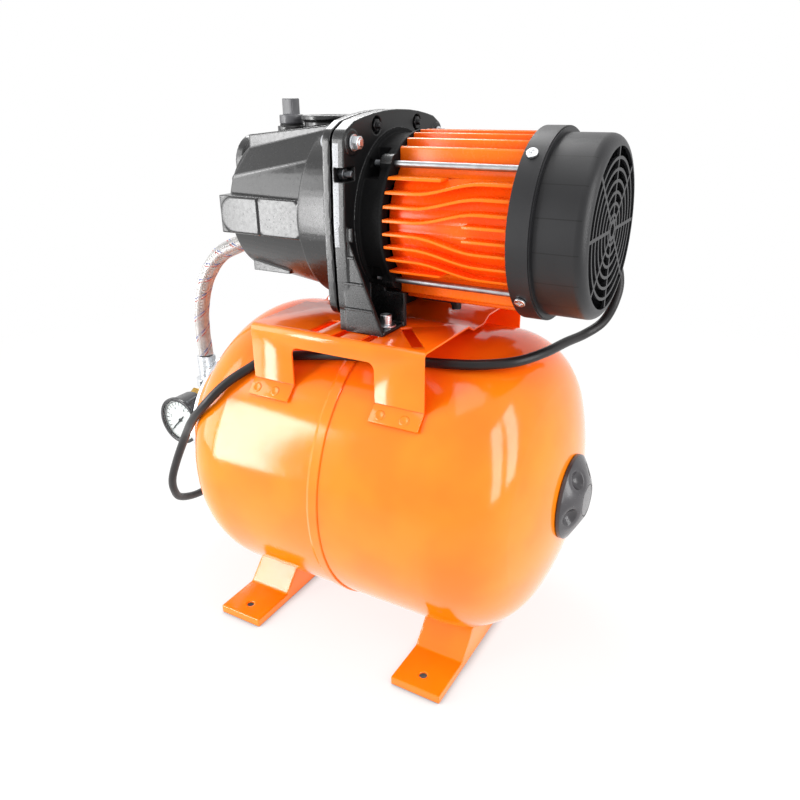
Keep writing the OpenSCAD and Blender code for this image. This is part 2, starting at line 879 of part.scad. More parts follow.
// moulded ring of guide vanes behind the impeller
module diffuser() {
  color([0.82, 0.82, 0.78])
    along_x(-32.6, 0, shaft_z) {
      difference() {
        cylinder(r = 63, h = 4);
        translate([0, 0, -1])
          cylinder(r = 16, h = 10);
      }
      for (i = [0:8])
        rotate([0, 0, i * 40])
          translate([59.5, -1.2, 3])
            rotate([0, 0, 35])
              cube([1.6, 6, 18]);
      difference() {
        cylinder(r = 63, h = 22);
        translate([0, 0, -1])
          cylinder(r = 61.4, h = 40);
      }
    }
}

// closed impeller on the shaft end
module impeller() {
  color([0.8, 0.62, 0.32])
    along_x(-27, 0, shaft_z)
      difference() {
        union() {
          difference() {
            cylinder(r = impeller_r, h = 2.5);
            translate([0, 0, -1])
              cylinder(r = 18, h = 5);
          }
          difference() {
            translate([0, 0, -0.8])
              cylinder(r = 21, h = 2);
            translate([0, 0, -2])
              cylinder(r = 18, h = 8);
          }
          translate([0, 0, 8])
            cylinder(r = impeller_r, h = 2.5);
          translate([0, 0, 1])
            cylinder(r = 13, h = 14);
          for (i = [0:vanes_n - 1])
            rotate([0, 0, i * 360 / vanes_n])
              intersection() {
                translate([14, -30, 1])
                  difference() {
                    cylinder(r = 42, h = 8);
                    translate([0, 0, -1])
                      cylinder(r = 39.5, h = 10);
                  }
                cube([60, 60, 12]);
                cylinder(r = impeller_r, h = 12);
              }
        }
        translate([0, 0, -5])
          cylinder(r = shaft_r + 0.02, h = 40);
      }
}

// lock nut of the impeller
module impeller_nut() {
  color([0.75, 0.75, 0.76])
    difference() {
      hex_x(-33 + free_gap + 0.6, 0, shaft_z, 18, 6.2 - free_gap);
      along_x(-40, 0, shaft_z)
        cylinder(r = 6 + 0.02, h = 20);
    }
}

// fixed ceramic half of the shaft seal
module seal_seat() {
  color([0.9, 0.9, 0.86])
    along_x(0.6, 0, shaft_z)
      difference() {
        cylinder(r = 14, h = 6);
        translate([0, 0, -1])
          cylinder(r = shaft_r + 1, h = 10);
      }
}

// turning half of the shaft seal
module seal_ring() {
  color([0.15, 0.15, 0.16])
    along_x(-11.8, 0, shaft_z)
      difference() {
        cylinder(r = 13, h = 12);
        translate([0, 0, -1])
          cylinder(r = shaft_r + 0.02, h = 20);
      }
}

// flat gasket between the casing and the bracket
module casing_gasket() {
  color([0.04, 0.04, 0.04])
    along_x(gasket_x0 + rest_gap, 0, shaft_z)
      difference() {
        cylinder(r = joint_r - 3, h = gasket_x1 - gasket_x0 - 2 * rest_gap);
        translate([0, 0, -1])
          cylinder(r = 66, h = 10);
        for (s = [-1, 1]) {
          translate([-side_stud_up, s * side_stud_y, -1])
            cylinder(r = 5, h = 10);
          translate([-70.5, s * 32, -1])
            cylinder(r = 4, h = 10);
        }
      }
}

// cast bracket: joint flange, bell, bearing seat and the two legs of the set
module motor_bracket() {
  color([0.045, 0.045, 0.05])
    difference() {
      union() {
        joint_plate(gasket_x1, flange_x);
        along_x(flange_x - 1, 0, shaft_z)
          cylinder(r = bell_r + 3.5, h = 3);
        difference() {
          along_x(flange_x, 0, shaft_z)
            cylinder(r = bell_r, h = bell_x - flange_x);
          for (sy = [-1, 1], sz = [-1, 1])
            translate([flange_x + 2, sy > 0 ? recess_a : -100, shaft_z + (sz > 0 ? recess_a : -100)])
              cube([28 - flange_x - 2, 100 - recess_a, 100 - recess_a]);
        }
        along_x(bell_x - 2.5, 0, shaft_z)
          cylinder(r = fin_r, h = 2.5);
        for (sy = [-1, 1], sz = [-1, 1])
          along_x(28, sy * rod_a, shaft_z + sz * rod_a)
            cylinder(r = 7, h = bell_x - 28);
        at_corners()
          along_x(flange_x - 1)
            cylinder(r = 9, h = 2);
        both_sides()
          bracket_leg();
        translate([gasket_x1, -leg_in_y, saddle_z + rest_gap])
          cube([flange_x - gasket_x1, 2 * leg_in_y, 60]);
      }
      along_x(17, 0, shaft_z)
        difference() {
          cylinder(r = bell_r - 6, h = 40);
          cylinder(r = 24, h = 40);
          for (sy = [-1, 1], sz = [-1, 1])
            translate([sz > 0 ? -100 : recess_a - 4, sy > 0 ? recess_a - 4 : -100, -1])
              cube([104 - recess_a, 104 - recess_a, 50]);
        }
      along_x(-1, 0, shaft_z)
        cylinder(r = 14 + 0.1, h = 8);
      along_x(0, 0, shaft_z)
        cylinder(r = shaft_r + 1, h = 60);
      along_x(25, 0, shaft_z)
        cylinder(r = 17.5 + 0.05, h = 30);
      for (sy = [-1, 1], sz = [-1, 1])
        along_x(15, sy * rod_a, shaft_z + sz * rod_a)
          cylinder(r = rod_r + bolt_gap, h = 40);
      at_corners()
        along_x(0)
          cylinder(r = corner_bolt_r + bolt_gap, h = 30);
      side_bolt_spots()
        along_x(0)
          cylinder(r = side_stud_r + bolt_gap, h = 30);
      top_screw_spots() {
        along_x(0)
          cylinder(r = 2.5 + bolt_gap, h = 30);
        along_x(flange_x - 4.5)
          cylinder(r = 6.5, h = 10);
      }
      both_sides()
        translate([stud_seat_x, -90, shaft_z + side_stud_up - 5])
          cube([flange_x, 96 - side_stud_y, 10]);
      both_sides()
        translate([foot_bolt_x, -foot_bolt_y, saddle_z - 1])
          cylinder(r = 4 + bolt_gap, h = 10);
    }
}

// one leg: stepped gusset outside, straight wall inside and a foot plate between them
module bracket_leg() {
  z0 = saddle_z + rest_gap;
  slope = (leg_x - 15) / 72;
  for (s = [[0, 19, 0], [18.9, 39, 0.5], [38.9, 59, 1], [58.9, 72, 1.5]])
    prism_y(s[2] - leg_y, 4.2 - s[2])
      translate([0, z0])
        polygon([[leg_x0, s[0]], [leg_x - slope * s[0], s[0]], [leg_x - slope * s[1], s[1]], [leg_x0, s[1]]]);
  translate([leg_x0, 1 - leg_y, z0 + 71])
    cube([19 - leg_x0, 3.2, 10.5]);
  translate([8, 3 - leg_y, z0])
    cube([leg_x - 8, leg_y - leg_in_y - 3, leg_pad_t]);
  translate([8, -leg_in_y - 4, z0])
    cube([leg_x + 1 - 8, 4, 28]);
  translate([8, -leg_in_y - 4, z0])
    cube([20, 4, 60]);
  translate([gasket_x1, 2 - leg_y, z0])
    cube([flange_x - gasket_x1, leg_y - leg_in_y - 1, 66]);
}

// zinc-plated bolts, washers and nuts at the four corners of the joint
module casing_bolts() {
  nut_x = flange_x + 1 + rest_gap;
  color([0.8, 0.8, 0.8])
    at_corners() {
      hex_x(-10.2, 0, 0, 10, 5);
      along_x(-5.6)
        cylinder(r = corner_bolt_r, h = nut_x + 7.2 + 5.6);
      along_x(nut_x)
        cylinder(r = 6, h = 1.4);
      hex_x(nut_x + 1.3, 0, 0, 9, 5);
    }
}

// smaller studs with nuts in the notches on the flanks of the joint
module side_bolts() {
  color([0.42, 0.42, 0.43])
    side_bolt_spots() {
      along_x(-3.5)
        cylinder(r = side_stud_r, h = stud_seat_x + 14.5);
      hex_x(stud_seat_x + rest_gap, 0, 0, 8, 4.6);
    }
}

module top_screw_spots() {
  for (s = [-1, 1])
    translate([0, s * 32, shaft_z + 70.5])
      children();
}

// dark studs and nuts at the top of the joint
module top_screws() {
  nut_x = flange_x - 4.5 + rest_gap;
  color([0.06, 0.06, 0.065])
    top_screw_spots() {
      along_x(-3.5)
        cylinder(r = 2.5, h = nut_x + 11.5);
      hex_x(nut_x, 0, 0, 9, 5);
    }
}

// bolts, washers and nuts that hold the legs on the saddle
module foot_bolts() {
  z = saddle_z + 2 * rest_gap + leg_pad_t;
  color([0.78, 0.78, 0.79])
    both_sides()
      translate([foot_bolt_x, -foot_bolt_y, 0]) {
        translate([0, 0, z])
          cylinder(r = 8, h = 1.4);
        translate([0, 0, z + 1])
          difference() {
            cylinder(r = 4.8, h = 8.6);
            translate([0, 0, 5])
              cylinder(r = 2.6, h = 6, $fn = 6);
          }
        translate([0, 0, saddle_z - 11])
          cylinder(r = 4, h = z - saddle_z + 12);
        hex_z(0, 0, saddle_z - saddle_t - rest_gap - 6, 13, 6);
      }
}

function fin_z(x, z0, z1) = let (t = min(max((x - 62) / 54, 0), 1)) z0 + (z1 - z0) * (1 - cos(180 * t)) / 2;

function fin_line(z0, z1) = let (xs = concat([bell_x + 0.5], [for (i = [0:8]) 62 + 6.75 * i], [frame_x]))
  concat([for (i = [0:10]) [xs[i], fin_z(xs[i], z0, z1)]],
    [for (i = [0:10]) [xs[10 - i], fin_z(xs[10 - i], z0, z1) + fin_t]]);

// cast frame: barrel with straight fins above and below and swept fins on both flanks
module motor_frame() {
  x0 = bell_x + 0.5;
  color([0.95, 0.33, 0.04])
    difference() {
      union() {
        along_x(x0, 0, shaft_z)
          cylinder(r = barrel_r, h = frame_x - x0);
        intersection() {
          along_x(x0, 0, shaft_z)
            cylinder(r = fin_r, h = frame_x - x0);
          union() {
            for (y = [-37, -26.5, -16, -5.3, 5.3, 16, 26.5, 37])
              for (s = [-1, 1])
                translate([x0, y - fin_t / 2, shaft_z + (s > 0 ? 36 : -70)])
                  cube([frame_x - x0, fin_t, 34]);
            for (s = [-1, 1])
              translate([x0, 0, shaft_z])
                mirror([0, s < 0 ? 1 : 0, 0])
                  translate([-x0, 0, -shaft_z])
                    side_fins();
          }
        }
      }
      along_x(x0 - 1, 0, shaft_z)
        cylinder(r = barrel_r - 6, h = 200);
    }
}

module side_fins() {
  x0 = bell_x + 0.5;
  prism_y(40, 40)
    translate([0, shaft_z - fin_t / 2])
      for (s = [-1, 1]) {
        for (k = [0.5, 1.5, 2.5])
          polygon(fin_line(s * k * fin_pitch, s * (k + 0.9) * fin_pitch));
        translate([x0, s * 3.5 * fin_pitch])
          square([44, fin_t]);
        translate([104, s * 0.5 * fin_pitch])
          square([frame_x - 104, fin_t]);
      }
}

// stacked stator plates
module stator_core() {
  color([0.35, 0.35, 0.37])
    along_x(stator_x0, 0, shaft_z)
      difference() {
        cylinder(r = barrel_r - 6 - run_gap, h = stator_x1 - stator_x0);
        translate([0, 0, -1])
          cylinder(r = 30, h = 60);
      }
}

// end turns of the copper winding
module windings() {
  color([0.72, 0.38, 0.16])
    for (x = [stator_x0 - 15.5, stator_x1 + 0.2])
      along_x(x, 0, shaft_z)
        rotate_extrude()
          translate([40, 7.6])
            round_rect(16, 15, 5);
}

// steel shaft through the motor and the pump
module shaft() {
  color([0.72, 0.73, 0.75]) {
    along_x(-26, 0, shaft_z)
      cylinder(r = shaft_r, h = 202);
    along_x(-33, 0, shaft_z)
      cylinder(r = 6, h = 8);
  }
}

// cage rotor pressed on the shaft
module rotor_core() {
  color([0.55, 0.55, 0.57])
    along_x(stator_x0, 0, shaft_z)
      difference() {
        union() {
          cylinder(r = 29.6, h = stator_x1 - stator_x0);
          translate([0, 0, -6])
            cylinder(r = 27, h = stator_x1 - stator_x0 + 12);
        }
        translate([0, 0, -10])
          cylinder(r = shaft_r + 0.02, h = stator_x1 - stator_x0 + 28);
      }
}

module bearing_at(x) {
  color([0.8, 0.81, 0.83])
    along_x(x, 0, shaft_z)
      difference() {
        cylinder(r = 17.5, h = 11);
        translate([0, 0, -1])
          cylinder(r = shaft_r + run_gap, h = 20);
        for (z = [-0.2, 10.2])
          translate([0, 0, z])
            difference() {
              cylinder(r = 14.5, h = 1);
              cylinder(r = 10.5, h = 1);
            }
      }
}

module front_bearing() {
  bearing_at(25.2);
}

module rear_bearing() {
  bearing_at(137.6);
}

// rear end shield, clamped to the frame by the tie rods
module rear_shield() {
  color([0.7, 0.71, 0.72])
    difference() {
      union() {
        along_x(frame_x + rest_gap, 0, shaft_z)
          cylinder(r = fin_r - 1, h = 4);
        along_x(frame_x - 6, 0, shaft_z)
          cylinder(r = 23, h = 20);
        along_x(frame_x + rest_gap, 0, shaft_z)
          difference() {
            cylinder(r = fin_r - 1, h = 11);
            translate([0, 0, -1])
              cylinder(r = fin_r - 10, h = 20);
          }
      }
      along_x(100, 0, shaft_z)
        cylinder(r = shaft_r + 1, h = 100);
      along_x(120, 0, shaft_z)
        cylinder(r = 17.5 + 0.05, h = 28.7);
      for (sy = [-1, 1], sz = [-1, 1])
        along_x(130, sy * rod_a, shaft_z + sz * rod_a)
          cylinder(r = rod_r + bolt_gap, h = frame_x + 5.5 - 130);
      for (i = [0:3])
        translate([skirt_x + 7, 0, shaft_z])
          rotate([cover_screw_a + i * 90, 0, 0])
            cylinder(r = 2 + rest_gap, h = 100);
    }
}

// cooling fan on the rear shaft end
module fan() {
  color([0.1, 0.1, 0.11])
    along_x(frame_x + 22, 0, shaft_z)
      difference() {
        union() {
          cylinder(r = 50, h = 2);
          cylinder(r = 14, h = 15);
          for (i = [0:6])
            rotate([0, 0, i * 360 / 7])
              translate([12, -1, 1])
                cube([40, 2, 17]);
        }
        translate([0, 0, -1])
          cylinder(r = shaft_r + 0.02, h = 30);
      }
}

// moulded fan cover: wide skirt, plain body with a rounded rim and a ring grille
module fan_cover() {
  depth = cover_x - skirt_x;
  color([0.13, 0.13, 0.14])
    difference() {
      along_x(skirt_x, 0, shaft_z) {
        rotate_extrude()
          difference() {
            union() {
              square([skirt_r, skirt_w - 1]);
              square([skirt_r - 1, skirt_w]);
              cover_2d(cover_r, depth, cover_round);
            }
            translate([0, -1])
              square([skirt_r - cover_wall, skirt_w - cover_wall + 1]);
            cover_2d(cover_r - cover_wall, depth - cover_wall, cover_round - cover_wall);
            translate([0, depth - 8])
              square([grille_r, 20]);
          }
        translate([0, 0, depth - cover_wall])
          linear_extrude(height = cover_wall - 0.3)
            grille_2d();
      }
      for (i = [0:3])
        translate([skirt_x + 7, 0, shaft_z])
          rotate([cover_screw_a + i * 90, 0, 0])
            cylinder(r = 2 + rest_gap, h = 100);
    }
}

module cover_2d(r, h, k) {
  translate([0, 1])
    square([r, h - k - 1]);
  square([r - k, h]);
  translate([r - k, h - k])
    circle(r = k);
}

module grille_2d() {
  step = (grille_r - 7) / (grille_rings + 0.5);
  for (i = [0:grille_rings - 1])
    difference() {
      circle(r = 7 + (i + 0.5) * step + 1.1);
      circle(r = 7 + (i + 0.5) * step - 1.1);
    }
  difference() {
    union() {
      circle(r = 8);
      intersection() {
        circle(r = grille_r + 1);
        for (i = [0:grille_spokes - 1])
          rotate(i * 360 / grille_spokes)
            translate([0, -1.3])
              square([100, 2.6]);
      }
    }
    circle(r = 4.5);
  }
}

// pan-head screws round the skirt of the fan cover
module cover_screws() {
  color([0.82, 0.82, 0.82])
    for (i = [0:3])
      translate([skirt_x + 7, 0, shaft_z])
        rotate([cover_screw_a + i * 90, 0, 0]) {
          translate([0, 0, skirt_r - 11])
            cylinder(r = 2, h = 12);
          difference() {
            translate([0, 0, skirt_r + rest_gap])
              cylinder(r = 4.2, h = 2);
            for (t = [0, 90])
              rotate([0, 0, t])
                translate([-2.6, -0.45, skirt_r + 1.2])
                  cube([5.2, 0.9, 4]);
          }
        }
}

// zinc-plated rods along the frame, screwed into the rear shield
module tie_rods() {
  color([0.82, 0.82, 0.83])
    for (sy = [-1, 1], sz = [-1, 1])
      along_x(21, sy * rod_a, shaft_z + sz * rod_a)
        cylinder(r = rod_r, h = frame_x + 5 - 21);
}

// rubber stop on a stud between the frame and the saddle trough
module motor_rest() {
  grip = 5.3 - fin_t / 2 - rest_gap;
  top = shaft_z - sqrt(pow(fin_r, 2) - pow(grip + fin_t, 2)) - 2 * rest_gap;
  color([0.06, 0.06, 0.06]) {
    translate([42, -8, top - 1.5])
      cube([32, 16, 1.5]);
    translate([42, -grip, top - 1])
      cube([32, 2 * grip, shaft_z - barrel_r - top + 0.7]);
    translate([68.5, -8, top - 3])
      cube([5.5, 16, 2]);
    translate([70, 0, top - 8])
      cylinder(r = 4, h = 6);
  }
}

// moulded box on the far flank for the terminals
module terminal_box() {
  wall = 2.5;
  color([0.08, 0.08, 0.085])
    difference() {
      translate([box_x0, box_y0, box_z0])
        cube([box_x1 - box_x0, box_y1 - box_y0 - 4, box_z1 - box_z0]);
      translate([box_x0 + wall, box_y0 + wall, box_z0 + wall])
        cube([box_x1 - box_x0 - 2 * wall, box_y1, box_z1 - box_z0 - 2 * wall]);
      along_x(box_x1 - 10, gland_y, gland_z)
        cylinder(r = 6 + rest_gap, h = 20);
    }
}

// screwed lid of the terminal box
module terminal_lid() {
  color([0.09, 0.09, 0.095])
    difference() {
      union() {
        translate([box_x0 - 1, box_y1 - 4 + rest_gap, box_z0 - 1])
          cube([box_x1 - box_x0 + 2, 4 - rest_gap, box_z1 - box_z0 + 2]);
        translate([box_x0 + 8, box_y1 - 1, box_z0 + 8])
          cube([box_x1 - box_x0 - 16, 2.5, box_z1 - box_z0 - 16]);
      }
      for (x = [box_x0 + 4, box_x1 - 4], z = [box_z0 + 4, box_z1 - 4])
        translate([x, box_y1 + 1, z])
          rotate([90, 0, 0])
            cylinder(r = 2.4, h = 2.5);
    }
}

// run capacitor inside the terminal box
module capacitor() {
  color([0.85, 0.85, 0.82])
    along_x(box_x0 + 5, box_y0 + 16, box_z1 - 19)
      cylinder(r = 12.5, h = 46);
}

// cable gland of the terminal box
module cable_gland() {
  color([0.07, 0.07, 0.07]) {
    along_x(box_x1 - 6, gland_y, gland_z)
      cylinder(r = 6, h = 8);
    hex_x(box_x1 + rest_gap, gland_y, gland_z, 17, 6);
    along_x(box_x1 + 6, gland_y, gland_z)
      cylinder(r1 = 8, r2 = 6, h = 10);
  }
}

// brass five-way body: tank, hose, gauge, switch and a blanked end
module manifold() {
  color([0.75, 0.58, 0.24])
    difference() {
      union() {
        along_x(manifold_x - manifold_r - 4, 0, manifold_z)
          cylinder(r = manifold_r, h = 2 * manifold_r + 4);
        hex_x(manifold_x - 26, 0, manifold_z, 27, 8);
        translate([manifold_x, 0, manifold_z])
          cylinder(r = 12, h = 21);
        translate([manifold_x, -24, manifold_z])
          rotate([-90, 0, 0])
            cylinder(r = 9, h = 48);
      }
      along_x(manifold_x - 10, 0, manifold_z)
        cylinder(r = 11, h = 60);
      translate([manifold_x, 0, manifold_z])
        cylinder(r = 7.5, h = 40);
      translate([manifold_x, -40, manifold_z])
        rotate([-90, 0, 0])
          cylinder(r = 4, h = 80);
    }
}

module at_gauge(y) {
  translate([manifold_x, y - gauge_y, manifold_z])
    rotate([90, 0, 0])
      children();
}

// round case of the pressure gauge with its bezel and stem
module gauge_case() {
  color([0.06, 0.06, 0.065])
    difference() {
      union() {
        at_gauge(26)
          cylinder(r = gauge_r - 1.5, h = 22);
        at_gauge(4)
          cylinder(r = gauge_r, h = 4);
        at_gauge(26.6)
          cylinder(r = 6, h = 3);
      }
      at_gauge(22)
        cylinder(r = dial_r, h = 30);
    }
}

// white printed dial
module gauge_dial() {
  color([0.95, 0.95, 0.93])
    at_gauge(4.6)
      difference() {
        cylinder(r = dial_r - rest_gap, h = 1);
        translate([0, 0, -1])
          cylinder(r = 1.6, h = 4);
      }
}

// pointer on its spindle
module gauge_needle() {
  color([0.03, 0.03, 0.03]) {
    at_gauge(6)
      cylinder(r = 1.2, h = 3.6);
    at_gauge(3.2)
      rotate([0, 0, 135])
        linear_extrude(height = 0.5)
          polygon([[-0.9, 0], [-0.6, -7], [0.6, -7], [0.9, 0], [0.3, 19], [-0.3, 19]]);
    at_gauge(3.2)
      cylinder(r = 2, h = 0.8);
  }
}

// clear window of the gauge
module gauge_lens() {
  color([0.85, 0.9, 0.92, 0.3])
    at_gauge(1.8)
      cylinder(r = dial_r - rest_gap, h = 1.4);
}

module at_switch(y) {
  translate([manifold_x, y, manifold_z])
    rotate([-90, 0, 0])
      children();
}

// plated base of the pressure switch with its nut on the manifold
module switch_base() {
  color([0.7, 0.7, 0.71])
    difference() {
      union() {
        at_switch(24 + rest_gap)
          cylinder(r = 13 / sqrt(3) * 1.7, h = 10, $fn = 6);
        at_switch(34)
          cylinder(r = 22, h = 6);
        at_switch(40)
          linear_extrude(height = 3)
            round_rect(switch_w, switch_h, 4);
      }
      at_switch(20)
        cylinder(r = 4, h = 12);
    }
}

// moulded cover of the pressure switch
module switch_cover() {
  color([0.07, 0.07, 0.075])
    difference() {
      union() {
        at_switch(43 + rest_gap)
          linear_extrude(height = 46)
            round_rect(switch_w, switch_h, 6);
        at_switch(88)
          linear_extrude(height = 3)
            round_rect(switch_w - 8, switch_h - 8, 5);
        at_switch(90)
          cylinder(r = 5, h = 4);
      }
      at_switch(42)
        linear_extrude(height = 44)
          round_rect(switch_w - 5, switch_h - 5, 4);
      translate([manifold_x, 70, manifold_z - switch_h / 2 - 5])
        cylinder(r = 6 + rest_gap, h = 12);
    }
}

// cable gland under the pressure switch
module switch_gland() {
  z = manifold_z - switch_h / 2;
  color([0.07, 0.07, 0.07]) {
    translate([manifold_x, 70, z - 2])
      cylinder(r = 6, h = 10);
    hex_z(manifold_x, 70, z - 6 - rest_gap, 17, 6);
    translate([manifold_x, 70, z - 10])
      cylinder(r = 6.5, h = 5);
  }
}

// nuts and crimped sleeves at both hose ends
module hose_fittings() {
  color([0.74, 0.62, 0.36])
    difference() {
      union() {
        hex_x(tail_x - 6 - rest_gap - 12, 0, hose_port_z, 24, 12);
        along_x(tail_x - 34, 0, hose_port_z)
          cylinder(r = 9.6, h = 17);
        hex_z(manifold_x, 0, manifold_z + 21 + rest_gap, 24, 14);
        translate([manifold_x, 0, manifold_z + 35])
          cylinder(r = 9.6, h = 25);
      }
      along_x(tail_x - 40, 0, hose_port_z)
        cylinder(r = 5.5, h = 60);
      translate([manifold_x, 0, manifold_z])
        cylinder(r = 5.5, h = 80);
    }
}

// steel-braided hose from the pump to the manifold
module braided_hose() {
  color([0.78, 0.78, 0.79])
    tube(route(hose_route, 3), hose_r, 12, [0, 1, 0]);
}

// black motor lead from the switch over the tank to the terminal box
module motor_cable() {
  color([0.08, 0.08, 0.085])
    tube(route(cable_route, 2), cable_r, 10, [0, 0, 1]);
}

module placed() {
  translate([shift_x, 0, 0])
    children();
}

placed() tank_rear_shell();
placed() tank_front_shell();
placed() membrane();
placed() tank_flange();
placed() flange_bolts();
placed() rear_foot();
placed() front_foot();
placed() saddle();
placed() air_valve();
placed() valve_core();
placed() valve_cap();
placed() pump_casing();
placed() filling_plug();
placed() plug_seal();
placed() drain_plug();
placed() ejector();
placed() diffuser();
placed() impeller();
placed() impeller_nut();
placed() seal_seat();
placed() seal_ring();
placed() casing_gasket();
placed() motor_bracket();
placed() casing_bolts();
placed() side_bolts();
placed() top_screws();
placed() foot_bolts();
placed() motor_frame();
placed() stator_core();
placed() windings();
placed() shaft();
placed() rotor_core();
placed() front_bearing();
placed() rear_bearing();
placed() rear_shield();
placed() fan();
placed() fan_cover();
placed() cover_screws();
placed() tie_rods();
placed() motor_rest();
placed() terminal_box();
placed() terminal_lid();
placed() capacitor();
placed() cable_gland();
placed() manifold();
placed() gauge_case();
placed() gauge_dial();
placed() gauge_needle();
placed() gauge_lens();
placed() switch_base();
placed() switch_cover();
placed() switch_gland();
placed() hose_fittings();
placed() braided_hose();
placed() motor_cable();
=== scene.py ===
import math

import bmesh
import bpy
from mathutils import Matrix, Vector


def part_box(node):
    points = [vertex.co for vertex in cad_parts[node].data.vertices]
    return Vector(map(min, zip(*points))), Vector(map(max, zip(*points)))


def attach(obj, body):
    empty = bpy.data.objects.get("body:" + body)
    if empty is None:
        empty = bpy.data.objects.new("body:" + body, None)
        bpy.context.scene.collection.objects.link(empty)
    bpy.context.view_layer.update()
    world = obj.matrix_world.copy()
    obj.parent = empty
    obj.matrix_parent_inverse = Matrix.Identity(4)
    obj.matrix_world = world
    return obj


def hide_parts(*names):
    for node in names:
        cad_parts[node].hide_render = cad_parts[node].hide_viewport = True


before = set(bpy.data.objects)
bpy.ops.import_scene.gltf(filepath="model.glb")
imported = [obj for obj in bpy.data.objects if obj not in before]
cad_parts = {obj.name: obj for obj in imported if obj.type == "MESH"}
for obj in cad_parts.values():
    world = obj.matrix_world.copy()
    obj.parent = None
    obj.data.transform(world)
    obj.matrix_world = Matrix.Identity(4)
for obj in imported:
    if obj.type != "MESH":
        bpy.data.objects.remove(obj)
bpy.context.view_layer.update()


# Camera and studio
# A white sweep on a table with soft panels: a tall one at the left, a window of two panes at the right, one behind
# and one overhead. The camera stands on the gauge side, a little above the motor.
eye = bpy.data.cameras.new("camera")
eye.sensor_width = 36.0
eye.lens = 32.41
stand = bpy.data.objects.new("camera", eye)
bpy.context.scene.collection.objects.link(stand)
aim = Matrix.Rotation(math.radians(30.2), 3, "Z")
aim = aim @ Matrix.Rotation(math.radians(90 - 23.1), 3, "X")
aim = aim @ Matrix.Rotation(math.radians(-0.64), 3, "Z")
stand.matrix_world = Matrix.Translation((0.3563, -0.5353, 0.4743)) @ aim.to_4x4()
bpy.context.scene.camera = stand
bpy.context.scene.view_settings.view_transform = "Standard"


def linear(code):
    """An sRGB hex colour as the linear colour that a shader takes."""
    parts = [int(code[i:i + 2], 16) / 255 for i in (1, 3, 5)]
    return [p / 12.92 if p <= 0.04045 else ((p + 0.055) / 1.055) ** 2.4 for p in parts] + [1.0]


def add(tree, kind, settings=None, links=None):
    """Adds one shader node, with values for its properties or sockets and links into its sockets."""
    made = tree.nodes.new("ShaderNode" + kind)
    for name, value in (settings or {}).items():
        if isinstance(name, int) or name in made.inputs:
            made.inputs[name].default_value = value
        else:
            setattr(made, name, value)
    for name, source in (links or {}).items():
        tree.links.new(source, made.inputs[name])
    return made


def softbox(name, place, target, width, height, power):
    """A lamp panel that faces a point of the set."""
    lamp = bpy.data.lights.new(name, "AREA")
    lamp.shape = "RECTANGLE"
    lamp.size = width
    lamp.size_y = height
    lamp.energy = power
    made = bpy.data.objects.new(name, lamp)
    made.location = place
    made.rotation_euler = (Vector(target) - Vector(place)).to_track_quat("-Z", "Y").to_euler()
    bpy.context.scene.collection.objects.link(made)


softbox("softbox_left", (-0.93, -0.52, 0.55), (-0.02, -0.05, 0.3), 0.5, 1.05, 6.0)
softbox("softbox_left_strip", (-0.68, -0.85, 0.39), (-0.02, -0.05, 0.32), 0.24, 0.75, 8.5)
softbox("window_pane_near", (1.2, -0.28, 0.55), (0.15, -0.05, 0.25), 0.26, 1.0, 5.4)
softbox("window_pane_far", (1.2, 0.1, 0.55), (0.15, -0.05, 0.25), 0.26, 1.0, 5.4)
softbox("softbox_back", (-0.5, 0.6, 1.2), (0.1, 0.0, 0.42), 0.6, 0.6, 11.0)
softbox("softbox_top", (0.1, -0.15, 1.7), (0.0, 0.0, 0.3), 0.9, 0.9, 4.0)

room = bpy.data.worlds.new("studio")
room.use_nodes = True
bpy.context.scene.world = room
sky = room.node_tree
sky.nodes.clear()
rays = add(sky, "LightPath")
seen = add(sky, "Math", {"operation": "MAXIMUM"},
           {0: rays.outputs["Is Camera Ray"], 1: rays.outputs["Is Glossy Ray"]})
seen = add(sky, "Math", {"operation": "MAXIMUM"}, {0: seen.outputs[0], 1: rays.outputs["Is Transmission Ray"]})
glow = add(sky, "Background", {"Color": (1.0, 1.0, 1.0, 1.0), "Strength": 0.66})
white = add(sky, "Background", {"Color": (1.0, 1.0, 1.0, 1.0), "Strength": 1.0})
both = add(sky, "MixShader", {}, {0: seen.outputs[0], 1: glow.outputs[0], 2: white.outputs[0]})
add(sky, "OutputWorld", {}, {0: both.outputs[0]})

# the sweep fades out towards its rim, so it runs into the white wall with no edge
sweep = bmesh.new()
bmesh.ops.create_circle(sweep, cap_ends=True, segments=96, radius=1.6)
table = bpy.data.meshes.new("studio_floor")
sweep.to_mesh(table)
sweep.free()
floor = bpy.data.objects.new("studio_floor", table)
bpy.context.scene.collection.objects.link(floor)
paper = bpy.data.materials.new("white_sweep_paper")
paper.use_nodes = True
tree = paper.node_tree
tree.nodes.clear()
place = add(tree, "TexCoord")
away = add(tree, "VectorMath", {"operation": "LENGTH"}, {0: place.outputs["Object"]})
fade = add(tree, "MapRange", {"From Min": 0.3, "From Max": 1.2}, {"Value": away.outputs["Value"]})
rays = add(tree, "LightPath")
matt = add(tree, "BsdfDiffuse", {"Color": linear("#F4F4F2")})
level = add(tree, "MapRange", {"To Min": 1.3, "To Max": 1.0}, {"Value": rays.outputs["Is Camera Ray"]})
# painted shade: the floor's glow is dimmed by ambient occlusion close to the set, which lays contact shadows round the
# feet and darkens their holes
near = add(tree, "AmbientOcclusion", {"Distance": 0.015, "samples": 8})
painted_contact_shade = add(tree, "MapRange", {"From Min": 0.25, "From Max": 0.8, "To Min": 0.06}, {"Value": near.outputs["AO"]})
level = add(tree, "Math", {"operation": "MULTIPLY"}, {0: level.outputs["Result"], 1: painted_contact_shade.outputs["Result"]})
lift = add(tree, "Emission", {"Color": (1.0, 1.0, 1.0, 1.0)}, {"Strength": level.outputs[0]})
body = add(tree, "MixShader", {0: 0.82}, {1: matt.outputs[0], 2: lift.outputs[0]})
gone = add(tree, "BsdfTransparent")
edge = add(tree, "MixShader", {}, {0: fade.outputs["Result"], 1: body.outputs[0], 2: gone.outputs[0]})
